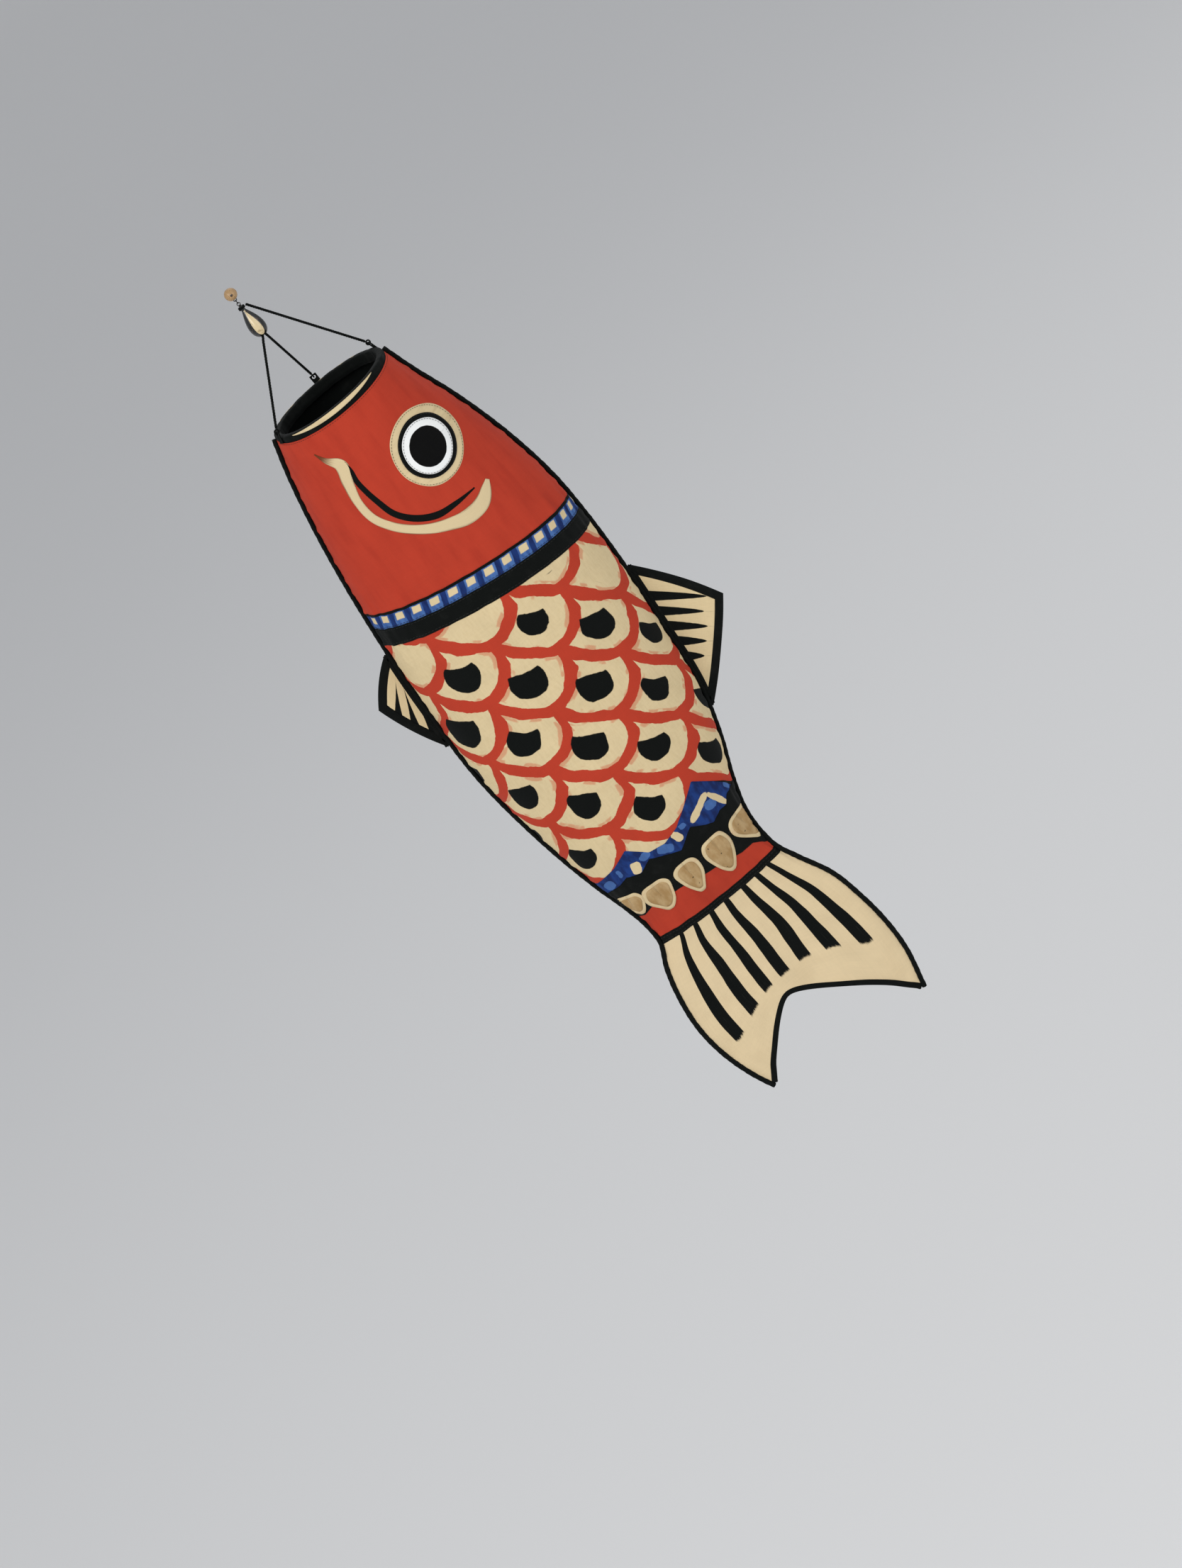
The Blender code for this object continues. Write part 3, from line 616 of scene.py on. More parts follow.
# Distance below the mouth, half width over the piping, the middle's offset towards the back,
# depth over width, slope of a level seam towards the back, roundness of the section
STATIONS = np.array((
    (0.000, 0.0830, 0.0132, 1.00, 0.00, 1.00),
    (0.035, 0.0935, 0.0124, 0.95, 0.02, 1.00),
    (0.100, 0.1125, 0.0145, 0.84, 0.06, 1.00),
    (0.187, 0.1310, 0.0160, 0.73, 0.12, 1.00),
    (0.251, 0.1396, 0.0150, 0.67, 0.156, 1.00),
    (0.300, 0.1430, 0.0120, 0.66, 0.15, 1.00),
    (0.359, 0.1445, 0.0080, 0.65, 0.13, 1.00),
    (0.467, 0.1420, 0.0000, 0.64, 0.09, 1.00),
    (0.554, 0.1330, -0.0025, 0.62, 0.07, 1.00),
    (0.618, 0.1185, -0.0080, 0.62, 0.06, 1.00),
    (0.662, 0.1050, -0.0130, 0.60, 0.058, 1.00),
    (0.705, 0.0933, -0.0145, 0.52, 0.05, 1.00),
    (0.739, 0.0896, -0.0130, 0.36, 0.04, 1.10),
    (0.764, 0.0917, -0.0120, 0.21, 0.03, 1.25),
    (0.791, 0.1037, -0.0128, 0.14, 0.02, 1.40),
    (0.834, 0.1194, -0.0095, 0.10, 0.01, 1.50),
    (0.8775, 0.1264, -0.0080, 0.085, 0.00, 1.50),
    (0.921, 0.1268, -0.0045, 0.075, 0.00, 1.50),
    (0.964, 0.1206, 0.0000, 0.070, 0.00, 1.50),
    (1.020, 0.1025, 0.0055, 0.065, 0.00, 1.50),
))
LEVELS = STATIONS[:, 0]
SHAPES = STATIONS[:, 1:]
SLOPES = np.gradient(SHAPES, LEVELS, axis=0)
CROSS_SEAMS = (BINDING_HEIGHT, COLLAR_TOP, COLLAR_END, BORDER_TOP, STEM_TOP, STEM_END, TAIL_TOP)


def section(distance):
    """Half width, middle, depth, slope and roundness of the section this far below the mouth."""
    place = np.clip(np.asarray(distance, float), LEVELS[0], LEVELS[-1])
    return np.moveaxis(smooth_between(LEVELS, SHAPES, SLOPES, place), -1, 0)


def ripple(run, seed, waves=((0.0093, 0.5), (0.0151, 0.8), (0.0240, 1.0), (0.0410, 0.8))):
    """Uneven waves along a line, from about -1 to 1."""
    total = np.zeros_like(run)
    for k, (length, size) in enumerate(waves):
        total = total + size * np.sin(math.tau * run / length + seed * (2.1 + 1.7 * k) + k)
    return total / sum(size for _, size in waves) * 1.6


def relief(run, degrees, side):
    """How far the filled cloth stands off its even form: soft swells, and puckers at the seams."""
    turn = np.radians(degrees)
    half, _, depth, _, _ = section(run)
    arc = half * (0.55 + 0.45 * depth) * turn
    edge = np.maximum(half * (0.55 + 0.45 * depth) * (math.pi / 2 - np.abs(turn)), 0.0)
    swell = np.sin(run * 41 + 1.3 * side + 1.6 * np.sin(2.2 * turn)) * np.sin(run * 17 + turn * 2.6 + side)
    lift = 0.0011 * swell * np.cos(turn)**2
    seam = 1.0 + side * 0.3
    lift += 0.0011 * np.exp(-edge / 0.016) * ripple(run, seam + np.sign(turn)) * np.minimum(edge / 0.004, 1)
    for k, seam in enumerate(CROSS_SEAMS):
        near = np.exp(-np.abs(run - seam) / 0.022)
        lift += 0.0008 * near * ripple(arc, 3.1 * k + side, ((0.017, 0.7), (0.029, 1.0), (0.052, 0.9)))
    fluted = np.clip((run - 0.735) / 0.06, 0, 1)
    flutes = ripple(arc * (0.1 / half), 5.0 + side, ((0.024, 0.6), (0.043, 1.0), (0.075, 1.0)))
    lift = lift * np.clip((run - 0.006) / 0.03, 0, 1)
    return lift * (1 - 0.35 * fluted) + 0.0012 * fluted * flutes * np.cos(turn)


def laid(run, degrees, side, lift=0.0, still=False):
    """Points on the cloth: -90 degrees is the belly seam, +90 the back seam."""
    lean = np.sin(np.radians(degrees))
    bulge = np.maximum(np.cos(np.radians(degrees)), 0.0)
    half, _, _, slope, _ = section(run)
    level = run + slope * half * lean
    half, middle, depth, _, power = section(level)
    reach = half - PIPING - GAP - WALL
    lift = lift + WALL + (0 if still else relief(run, degrees, side))
    x = middle + (reach + lift) * lean
    y = side * (GAP / 2 + (depth * reach + lift) * bulge**power)
    return np.stack([x, y, MOUTH_Z - level], -1)


def beside(x, distance, side, lift=0.0):
    """Points on the flank beside places in the median plane."""
    half, middle, _, slope, _ = section(distance)
    reach = half - PIPING - GAP
    lean = np.clip((x - middle) / (reach + lift), -0.999, 0.999)
    return laid(distance - slope * half * lean, np.degrees(np.arcsin(lean)), side, lift)


def lay_sheet(name, grids, prints, finishes, thickness=CLOTH):
    """Cloth over one or more grids of points, with the print's own coordinates in metres."""
    parts = []
    for points, print_place in zip(grids, prints):
        rows, columns = points.shape[:2]
        deselect()
        bpy.ops.mesh.primitive_grid_add(x_subdivisions=columns - 1, y_subdivisions=rows - 1, size=1)
        part = bpy.context.object
        part.data.vertices.foreach_set("co", points.reshape(-1).astype(np.float32))
        corners = np.empty(len(part.data.loops), np.int32)
        part.data.loops.foreach_get("vertex_index", corners)
        for layer in list(part.data.uv_layers):
            part.data.uv_layers.remove(layer)
        cloth_map = part.data.uv_layers.new(name="print")
        cloth_map.data.foreach_set("uv", print_place.reshape(-1, 2)[corners].astype(np.float32).ravel())
        part.data.update()
        away = 0.0
        for face in list(part.data.polygons)[:: max(len(part.data.polygons) // 200, 1)]:
            away += face.normal.y * face.center.y + face.normal.x * 0.3 * face.center.x
        if away < 0:
            part.data.flip_normals()
        parts.append(part)
    deselect()
    for part in parts:
        part.select_set(True)
    piece = parts[0]
    bpy.context.view_layer.objects.active = piece
    if len(parts) > 1:
        bpy.ops.object.join()
    piece.name = name
    piece.data.name = name
    dress(piece, *finishes)
    bpy.ops.object.shade_smooth()
    inner = 1 if len(finishes) > 1 else 0
    return apply_modifier(piece, "SOLIDIFY", thickness=thickness, offset=-1, material_offset=inner)


def flank_grid(start, end, side, columns, rows, lift=0.0, across=(-90, 90)):
    """A grid of points over a flank, and its print's place: along the girth, and down the fish."""
    degrees = np.linspace(*across, columns)
    start = np.broadcast_to(start(degrees) if callable(start) else start, columns)
    end = np.broadcast_to(end(degrees) if callable(end) else end, columns)
    share = np.linspace(0, 1, rows)[:, None]
    run = start + share * (end - start)
    turn = np.broadcast_to(degrees, run.shape)
    points = laid(run, turn, side, lift)
    even = laid(np.broadcast_to(run.mean(axis=1, keepdims=True), run.shape), turn, side, lift, still=True)
    steps = np.linalg.norm(np.diff(even, axis=1), axis=2)
    girth = np.concatenate([np.zeros((rows, 1)), np.cumsum(steps, axis=1)], axis=1)
    zero = np.array([np.interp(0.0, degrees, line) for line in girth])[:, None]
    around = girth - zero + section(MOUTH_Z - points[:, :, 2])[1]
    return points, np.stack([around, run], -1), MOUTH_Z - points[:, :, 2]


def sheet_size(points):
    """Width and length of a grid of cloth laid flat, and its area."""
    wide = np.linalg.norm(np.diff(points, axis=1), axis=2).sum(1)
    long = np.linalg.norm(np.diff(points, axis=0), axis=2).sum(0)
    a, b, c = points[:-1, :-1], points[1:, :-1], points[:-1, 1:]
    area = np.linalg.norm(np.cross(b - a, c - a), axis=2).sum()
    return float(wide.max()), float(long.max()), float(area)


def print_place(look):
    """The print's coordinates on a cloth piece, in metres: along the girth, and down the fish."""
    place = look.node("ShaderNodeUVMap", {"uv_map": "print"})
    u = look.node("ShaderNodeSeparateXYZ", {}, {0: place})
    v = look.node("ShaderNodeSeparateXYZ", {}, {0: place}, out=1)
    return place, u, v


def by_hand(look, place, value, coarse=0.004, fine=0.0011, seed=0.0):
    """The value moved a little to and fro, as a brush held by hand does."""
    moved = look.node("ShaderNodeVectorMath", {"operation": "ADD"}, {0: place, 1: (seed, seed * 0.7, 0.0)})
    return (value + (grain(look, moved, 34.0, 1.0) - 0.5) * (2 * coarse)
            + (grain(look, moved, 190.0, 2.0) - 0.5) * (2 * fine))


def weave(look, place, u, v):
    """Height of a plain weave with uneven threads."""
    pitch = 0.0011
    warp = abs(look.math("SINE", u * (math.pi / pitch)))
    weft = abs(look.math("SINE", v * (math.pi / pitch)))
    slub = (grain(look, place, 320.0, 2.0, (0.12, 1.0, 1.0))
            + grain(look, place, 320.0, 2.0, (1.0, 0.12, 1.0)))
    return warp * weft * 0.5 + slub * 0.6


def cloth_look(name):
    """The start of a printed cloth: its shader, its nodes and its print's coordinates."""
    material, shader, look = new_finish(name, 0.82, Specular_IOR_Level=0.14, Sheen_Weight=0.02)
    place, u, v = print_place(look)
    return material, shader, look, place, u, v


def finish_cloth(look, shader, place, u, v, colour):
    """Weave and the uneven take-up of the dye over a printed colour."""
    blotches = grain(look, place, 26.0, 4.0)
    threads = (grain(look, place, 420.0, 2.0, (0.10, 1.0, 1.0))
               + grain(look, place, 420.0, 2.0, (1.0, 0.10, 1.0)))
    tone = 0.82 + blotches * 0.20 + threads * 0.08
    shade = look.node("ShaderNodeCombineColor", {}, {0: tone, 1: tone, 2: tone})
    dyed = look.node("ShaderNodeMix", {"data_type": "RGBA", "blend_type": "MULTIPLY"},
                     {0: 1.0, 6: colour, 7: shade}, out=2)
    paint(look, shader, dyed, 0.76 + threads * 0.08, weave(look, place, u, v), 0.35, 0.0004)


# ------------------------------------------------------------------ mouth
# A split bamboo hoop keeps the mouth open. A black binding is rolled over it, with a facing
# inside, and a cream crescent is sewn on each side of the rim as the lip.

HOOP_RADIUS = 0.0742
FACING_RADIUS = 0.0702
LIP_ACROSS = (-52, 41)    # degrees

bamboo = wood_finish("split_bamboo", (0.50, 0.36, 0.17), (0.28, 0.18, 0.08), 0.5)
dress(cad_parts["mouth_hoop"], bamboo)


def black_cloth(name):
    """Black dyed cotton with worn, dusty threads."""
    material, shader, look, place, u, v = cloth_look(name)
    dust = soft_step(look, grain(look, place, 60.0, 4.0), 0.62, 0.2)
    finish_cloth(look, shader, place, u, v, mix(look, dust * 0.5, BLACK, DUSTY_BLACK))
    return material


black_cotton = black_cloth("black_cotton")
turns = np.linspace(0, math.tau, 241)
rolled = []
for run in np.linspace(BINDING_HEIGHT, 0.0006, 9):
    tucked = 0.0012 * min(max((run - 0.003) / 0.003, 0), 1)
    rolled.append((float(section(run)[0]) - PIPING - GAP + 0.0002 - tucked, -float(run)))
top = rolled[-1]
for angle in np.linspace(0.2, math.pi, 9):
    middle = (top[0] + FACING_RADIUS) / 2
    rolled.append((middle + (top[0] - middle) * math.cos(angle), top[1] + 0.0014 * math.sin(angle)))
rolled += [(FACING_RADIUS, z) for z in (-0.004, -0.008, -0.013)]
rolled = np.array(rolled)
drift = np.array([float(section(max(-z, 0.0))[1]) for _, z in rolled])
creases = 0.00035 * ripple(turns * HOOP_RADIUS, 2.0)
creases[-1] = creases[0]
ring = np.stack([
    drift[:, None] + (rolled[:, 0, None] + creases) * np.cos(turns),
    (rolled[:, 0, None] + creases) * np.sin(turns),
    MOUTH_Z + rolled[:, 1, None] + creases * 0.5], -1)
depths = np.array([float(section(max(-z, 0.0))[2]) for _, z in rolled])
ring[:9, :, 1] *= depths[:9, None]
ring_print = np.stack(np.broadcast_arrays(turns[None] * HOOP_RADIUS, runs_along(rolled)[:, None]), -1)
binding = lay_sheet("mouth_binding_roll", [ring], [ring_print], [black_cotton], 0.0008)
stand_in(binding, "head", "mouth_binding", "mouth_facing")


def cream_cloth(name, colour=CREAM, edge=(0.30, 0.16, 0.06), streak=0.25):
    """Cream cotton with faint brush streaks."""
    material, shader, look, place, u, v = cloth_look(name)
    streaks = grain(look, place, 130.0, 3.0, (0.25, 1.0, 1.0))
    tone = mix(look, soft_step(look, streaks, 0.62, 0.3) * streak, colour, edge)
    finish_cloth(look, shader, place, u, v, tone)
    return material


cream_cotton = cream_cloth("cream_cotton")
for label, side in SIDES:
    degrees = np.linspace(*LIP_ACROSS, 60)
    share = np.linspace(0, 1, 60)
    height = 0.0004 + 0.0052 * np.sin(math.pi * share)**0.8
    run = np.linspace(0, 1, 6)[:, None] * height
    points = laid(run, np.broadcast_to(degrees, run.shape), side, 0.0009)
    flat = np.stack(np.broadcast_arrays(degrees / 90 * 0.12, run), -1)
    lip = lay_sheet("lip_crescent_" + label, [points], [flat], [cream_cotton], 0.0007)
    stand_in(lip, "head", "lip_" + label)

# ------------------------------------------------------------------ head
# Two panels of red cloth, lined with black as painted shade for the hollow inside the mouth, run from
# the mouth to the collar. The red was laid on with a wide brush, so it is a little uneven.

RED = (0.49, 0.047, 0.022)
DEEP_RED = (0.36, 0.028, 0.014)
CHEEK_START = (0.0030, 0.0076)    # below the rim at the seams, and how much more at mid flank
# The bodies that a joint joins, where its bend starts and ends, and its middle and direction
BEND_NECK = (("head", "body"), 0.2150, 0.3300, (0.0142, -0.154, -0.988))
BEND_STEM = (("body", "stem"), 0.6650, 0.7350, (-0.0137, -0.055, -0.998))
BEND_TAIL = (("stem", "tail"), 0.7620, 0.8300, (-0.0120, -0.030, -1.000))


def bend_with(piece, bend):
    """Works out a joint's line from one distance below the mouth to another, then bakes the piece's place into
    its mesh; the piece does not bend.
    """
    bodies, start, end, (x, lean, down) = bend
    direction = Vector((lean, 0, down))
    first = Vector((x, 0, MOUTH_Z - (start + end) / 2)) - direction * (end - start) / 2
    tuple(first + direction * (end - start))
    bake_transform(piece)
    return piece


def sew_panel(name, points, prints, finishes, node, bend):
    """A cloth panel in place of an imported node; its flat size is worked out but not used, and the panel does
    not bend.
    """
    piece = lay_sheet(name, [points], [prints], finishes)
    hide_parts(node)
    wide, long, area = sheet_size(points)
    return bend_with(piece, bend)


def red_cloth(name):
    """Brushed red print."""
    material, shader, look, place, u, v = cloth_look(name)
    strokes = grain(look, place, 60.0, 3.0, (1.0, 0.22, 1.0))
    tone = mix(look, soft_step(look, strokes, 0.6, 0.4) * 0.45, RED, DEEP_RED)
    finish_cloth(look, shader, place, u, v, tone)
    return material


red_print = red_cloth("red_print")
# The head panels' inner face is black cloth: painted shade for the hollow inside the mouth.
mouth_shade_lining = black_cloth("painted_shade_lining")


def cheek_start(degrees):
    """How far below the rim the red cloth begins, leaving the black binding bare above it."""
    return CHEEK_START[0] + CHEEK_START[1] * np.cos(np.radians(degrees))**0.8


for label, side in SIDES:
    points, print_at, _ = flank_grid(cheek_start, COLLAR_TOP + 0.0008, side, 121, 96)
    sew_panel("head_cloth_" + label, points, print_at, [red_print, mouth_shade_lining], "head_panel_" + label, BEND_NECK)

# ------------------------------------------------------------------ eyes
# Each eye is three round patches sewn one on another: a cream one, a black one, and on top a
# white one with a black pupil, lightly stuffed so that it stands out.

EYE = (0.0606, 0.1022)    # towards the back, and below the mouth
PUPIL = 0.0221
# Half width, half height and how far each layer lies over the cheek
EYE_LAYERS = (("patch", 0.0436, 0.0453, 0.0004), ("ring", 0.0349, 0.0363, 0.0014),
              ("button", 0.0301, 0.0313, 0.0024))
WHITE = (0.92, 0.93, 0.91)


def button_cloth(name):
    """White cotton with a black printed pupil; its print is measured from the pupil's middle."""
    material, shader, look, place, u, v = cloth_look(name)
    reach = look.math("SQRT", u * u + v * v)
    reach = by_hand(look, place, reach, 0.0006, 0.0004)
    tone = mix(look, soft_step(look, reach, PUPIL, 0.0006), (0.001, 0.001, 0.001), WHITE)
    finish_cloth(look, shader, place, u, v, tone)
    return material


eye_finish = {"patch": cream_cotton, "ring": black_cotton, "button": button_cloth("eye_white")}
for label, side in SIDES:
    for layer, wide, tall, lift in EYE_LAYERS:
        turns = np.linspace(0, math.tau, 97)
        share = np.linspace(0, 1, 22)[:, None]
        uneven = 1 + 0.006 * np.sin(3 * turns + wide * 900) + 0.004 * np.sin(7 * turns)
        across = share * wide * uneven * np.cos(turns)
        down = share * tall * uneven * np.sin(turns)
        dome = 0.0014 * np.sqrt(np.maximum(1 - share**2, 0)) if layer == "button" else 0.0
        rolled_edge = -0.0004 * np.clip((share - 0.955) / 0.045, 0, 1)**2
        points = beside(EYE[0] + across, EYE[1] + down, side, lift + dome + rolled_edge)
        flat = np.stack([across, down * wide / tall], -1)
        name = f"eye_{layer}_sewn_{label}"
        disc = lay_sheet(name, [points], [flat], [eye_finish[layer]], 0.0007)
        stand_in(disc, "head", f"eye_{layer}_{label}")

# ------------------------------------------------------------------ smile
# A cream brush stroke curls under each eye, broad and leaf-shaped at its end, with a thin black
# line above it. Both are cut from painted cloth and sewn flat to the cheek.

# Corners towards the back and below the mouth, and the width at each
SMILE = ((-0.0436, 0.0296), (-0.0381, 0.0421), (-0.0291, 0.0545), (-0.0356, 0.0770), (-0.0410, 0.1015),
         (-0.0393, 0.1262), (-0.0275, 0.1482), (-0.0052, 0.1700), (0.0215, 0.1850), (0.0455, 0.1935),
         (0.0690, 0.1925), (0.0835, 0.1830), (0.0890, 0.1785))
SMILE_WIDTHS = (0.0008, 0.0060, 0.0155, 0.0125, 0.0095, 0.0098, 0.0105, 0.0115, 0.0140, 0.0185, 0.0190,
                0.0120, 0.0030)
CREASE = ((-0.0230, 0.0547), (-0.0240, 0.0667), (-0.0268, 0.0803), (-0.0262, 0.0955), (-0.0235, 0.1128),
          (-0.0170, 0.1375), (-0.0062, 0.1522), (0.0190, 0.1684), (0.0435, 0.1724), (0.0711, 0.1744))
CREASE_WIDTHS = (0.0010, 0.0048, 0.0060, 0.0064, 0.0068, 0.0074, 0.0080, 0.0084, 0.0060, 0.0016)
SMEAR = (0.16, 0.045, 0.015)


def smooth_line(corners, count):
    """A smooth line through the corners, as evenly spaced points."""
    dense = even_points([(*c, 0.0) for c in corners], 0.0005)
    run = runs_along(dense)
    at = np.linspace(0, run[-1], count)
    return np.stack([np.interp(at, run, dense[:, k]) for k in range(2)], 1), at


def stroke_grid(corners, widths, side, lift, count=150, across=9):
    """A brush stroke on the flank: points, and its print's place along and across the stroke."""
    line, at = smooth_line(corners, count)
    knots = runs_along(np.array(corners))
    wide = np.interp(at / at[-1], knots / knots[-1], widths)
    kernel = np.hanning(15)
    wide = np.convolve(np.pad(wide, 7, mode="edge"), kernel / kernel.sum(), mode="valid")
    along = unit(np.gradient(line, axis=0))
    normal = np.stack([-along[:, 1], along[:, 0]], 1)
    share = np.linspace(-0.5, 0.5, across)[:, None, None]
    place = line + normal * wide[:, None] * share
    sunk = -0.0003 * (np.abs(share[:, :, 0]) > 0.49)
    points = beside(place[:, :, 0], place[:, :, 1], side, lift + sunk)
    flat = np.stack(np.broadcast_arrays(at[None], share[:, :, 0] * 2), -1)
    return points, flat


def stroke_cloth(name):
    """Cream paint over red: dark smears along the stroke's edges and at its hooked start."""
    material, shader, look, place, u, v = cloth_look(name)
    streaks = grain(look, place, 60.0, 3.0, (0.4, 0.06, 1.0))
    edge = soft_step(look, abs(v) + (streaks - 0.5) * 0.7, 0.93, 0.35)
    start = 1 - soft_step(look, u + (streaks - 0.5) * 0.02, 0.016, 0.016)
    dark = look.math("MAXIMUM", edge * 0.75, start)
    tone = mix(look, dark, CREAM, SMEAR)
    finish_cloth(look, shader, place, u, v * 0.01, tone)
    return material


stroke_look = stroke_cloth("smile_paint")
for label, side in SIDES:
    for name, corners, widths, finish, lift in (("smile", SMILE, SMILE_WIDTHS, stroke_look, 0.0006),
                                                ("crease", CREASE, CREASE_WIDTHS, black_cotton, 0.0005)):
        points, flat = stroke_grid(corners, widths, side, lift)
        stroke = lay_sheet(f"{name}_{label}", [points], [flat], [finish], 0.0005)
        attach(stroke, "head")

# ------------------------------------------------------------------ collar
# Two bands sewn round the fish where the head meets the body: a blue one checked with cream
# squares, and a black one.

BLUE = (0.013, 0.046, 0.205)
SOFT_BLUE = (0.072, 0.165, 0.41)
DARK_BLUE = (0.008, 0.020, 0.095)
CHECK_STEP = 0.0236


def checked_cloth(name):
    """Blue band with cream squares near its top, a paler blue under each and dark bars between."""
    material, shader, look, place, u, v = cloth_look(name)
    down = by_hand(look, place, v - COLLAR_TOP, 0.0006, 0.0004)
    along = by_hand(look, place, u, 0.0012, 0.0005, 3.0) + (down - 0.0085) * 0.35
    cell = along / CHECK_STEP
    away = abs(cell - look.math("ROUND", cell)) * CHECK_STEP
    strokes = grain(look, place, 150.0, 3.0, (1.0, 0.3, 1.0))
    base = mix(look, soft_step(look, away + (strokes - 0.5) * 0.004, 0.0082, 0.0012), SOFT_BLUE, DARK_BLUE)
    base = mix(look, soft_step(look, strokes, 0.5, 0.3) * 0.55, base, BLUE)
    square = ((1 - soft_step(look, away, 0.0056, 0.0012)) * soft_step(look, down, 0.0047, 0.0008)
              * (1 - soft_step(look, down, 0.0133, 0.0012)))
    tone = mix(look, square, base, CREAM)
    tone = mix(look, 1 - soft_step(look, down, 0.0034, 0.0006), tone, BLACK)
    finish_cloth(look, shader, place, u, v, tone)
    return material


def band(name, start, end, finish, bend, node, lift=0.0, rows=14, columns=121):
    """A band round both flanks, laid from one distance below the mouth to another."""
    halves = [flank_grid(start, end, side, columns, rows, lift) for _, side in SIDES]
    piece = lay_sheet(name, [h[0] for h in halves], [h[1] for h in halves], [finish])
    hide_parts(node)
    wide, long, area = sheet_size(halves[0][0])
    return bend_with(piece, bend)


band("check_band", COLLAR_TOP, COLLAR_MIDDLE + 0.0004, checked_cloth("checked_blue"), BEND_NECK,
     "collar_check_band", 0.0003)
band("collar_band", COLLAR_MIDDLE, COLLAR_END + 0.0008, black_cotton, BEND_NECK,
     "collar_black_band", 0.0005)

# ------------------------------------------------------------------ body
# Two printed panels: overlapping cream scales drawn with red lines, each with a black mark in it.

SCALE_WIDE = 0.1055       # between scales in a row
SCALE_LONG = 0.1060       # between a row and the next but one
SCALE_DEEP = 0.0490       # of a scale's curved lower edge
SCALE_PLACE = (0.0254, 0.3320)
SCALE_DRIFT = 0.075       # the rows shift towards the back as they go down
LINE_HALF = 0.0074        # half the width of a red line
MARK_RADIUS = 0.0215
MARK_CUT = 0.0108         # from the mark's middle to its flat top
MARK_SINE = 0.442         # of the slope of the marks' flat tops
MARK_COSINE = 0.897
PALE_RED = (0.60, 0.16, 0.075)


def scale_family(look, u, v, shift):
    """Distance to the nearest lower edge among every second row of scales, and their marks."""
    column = (u - v * SCALE_DRIFT - (SCALE_PLACE[0] - SCALE_PLACE[1] * SCALE_DRIFT)) / SCALE_WIDE + shift
    middle = look.math("ROUND", column)
    across = (column - middle) * 2.0
    row = (v - SCALE_PLACE[1]) / SCALE_LONG + shift
    down = look.math("MAXIMUM", row - look.math("FLOOR", row + 0.11), 0.0) * (SCALE_LONG / SCALE_DEEP)
    fullness = 1.35 + soft_step(look, across, 0.0, 0.7) * 0.65
    wide = abs(across)
    reach = (wide ** fullness + down ** fullness) ** (1.0 / fullness)
    twice = fullness * 2 - 2
    steep = look.math("SQRT", wide ** twice + down ** twice) / reach ** (fullness - 1)
    line = abs(reach - 1) * (SCALE_WIDE / 2) / look.math("MAXIMUM", steep, 0.6)
    mark_row = (v - SCALE_PLACE[1] - 0.003) / SCALE_LONG + shift
    level = look.math("ROUND", mark_row)
    cell = look.node("ShaderNodeCombineXYZ", {}, {0: middle, 1: level, 2: shift})
    chance = look.node("ShaderNodeTexWhiteNoise", {"noise_dimensions": "3D"}, {0: cell}) - 0.5
    colours = look.node("ShaderNodeTexWhiteNoise", {"noise_dimensions": "3D"}, {0: cell}, out=1)
    size = 0.84 + look.node("ShaderNodeSeparateColor", {}, {0: colours}, out=1) * 0.28
    a = across * (SCALE_WIDE / 2) / size
    b = (mark_row - level) * SCALE_LONG / size
    lean = chance * 0.55
    top = a * (MARK_SINE + MARK_COSINE * lean) - b * (MARK_COSINE - MARK_SINE * lean)
    side = a * MARK_COSINE + b * MARK_SINE
    round_part = soft_step(look, look.math("SQRT", a * a + b * b * 0.92), MARK_RADIUS, 0.0010)
    flat_part = soft_step(look, top - side * side * 6.0, MARK_CUT, 0.0012)
    return line, (1 - round_part) * (1 - flat_part)


def scale_cloth(name):
    """The printed body: cream scales, red lines with paler smears beside them, black marks."""
    material, shader, look, place, u, v = cloth_look(name)
    u_hand = by_hand(look, place, u, 0.0045, 0.0008)
    v_hand = by_hand(look, place, v, 0.0045, 0.0008, 5.0)
    lines_a, marks_a = scale_family(look, u_hand, v_hand, 0.0)
    lines_b, marks_b = scale_family(look, u_hand, v_hand, 0.5)
    line = look.math("MINIMUM", lines_a, lines_b)
    spread = grain(look, place, 40.0, 2.0)
    strokes = grain(look, place, 300.0, 2.0, (1.0, 0.35, 1.0))
    smear = (1 - soft_step(look, line, LINE_HALF + 0.0040, 0.0020)) * soft_step(look, spread, 0.55, 0.06)
    red = 1 - soft_step(look, line + (spread - 0.5) * 0.005 + (strokes - 0.5) * 0.0008, LINE_HALF, 0.0007)
    tone = mix(look, soft_step(look, strokes, 0.55, 0.4) * 0.18, CREAM, (0.55, 0.40, 0.20))
    tone = mix(look, smear * 0.55, tone, PALE_RED)
    tone = mix(look, red, tone, RED)
    shown = (soft_step(look, v - look.math("MAXIMUM", u - 0.08, 0.0) * 1.3, 0.306, 0.002)
             * (1 - soft_step(look, v, 0.6290, 0.002)))
    tone = mix(look, look.math("MAXIMUM", marks_a, marks_b) * shown, tone, BLACK)
    finish_cloth(look, shader, place, u, v, tone)
    return material


scale_print = scale_cloth("scale_print")
for label, side in SIDES:
    points, print_at, depth = flank_grid(COLLAR_END - 0.001, BORDER_TOP + 0.0008, side, 141, 150)
    lean = np.abs(np.sin(np.radians(np.linspace(-90, 90, 141))))
    print_at = np.stack([print_at[:, :, 0], depth - 0.012 * lean**3], -1)
    sew_panel("body_cloth_" + label, points, print_at, [scale_print], "body_panel_" + label, BEND_NECK)

# ------------------------------------------------------------------ piping
# A round black piping is sewn into the back and the belly seam all the way down.

PIPING_SEWN = 0.0062      # with its cover filled out by the seam
PIPING_INSET = 0.0027     # of its middle from the body's outline
PIPING_START = 0.0015     # distances below the mouth
STEM_PIPING = 0.6650
TAIL_PIPING = 0.7620


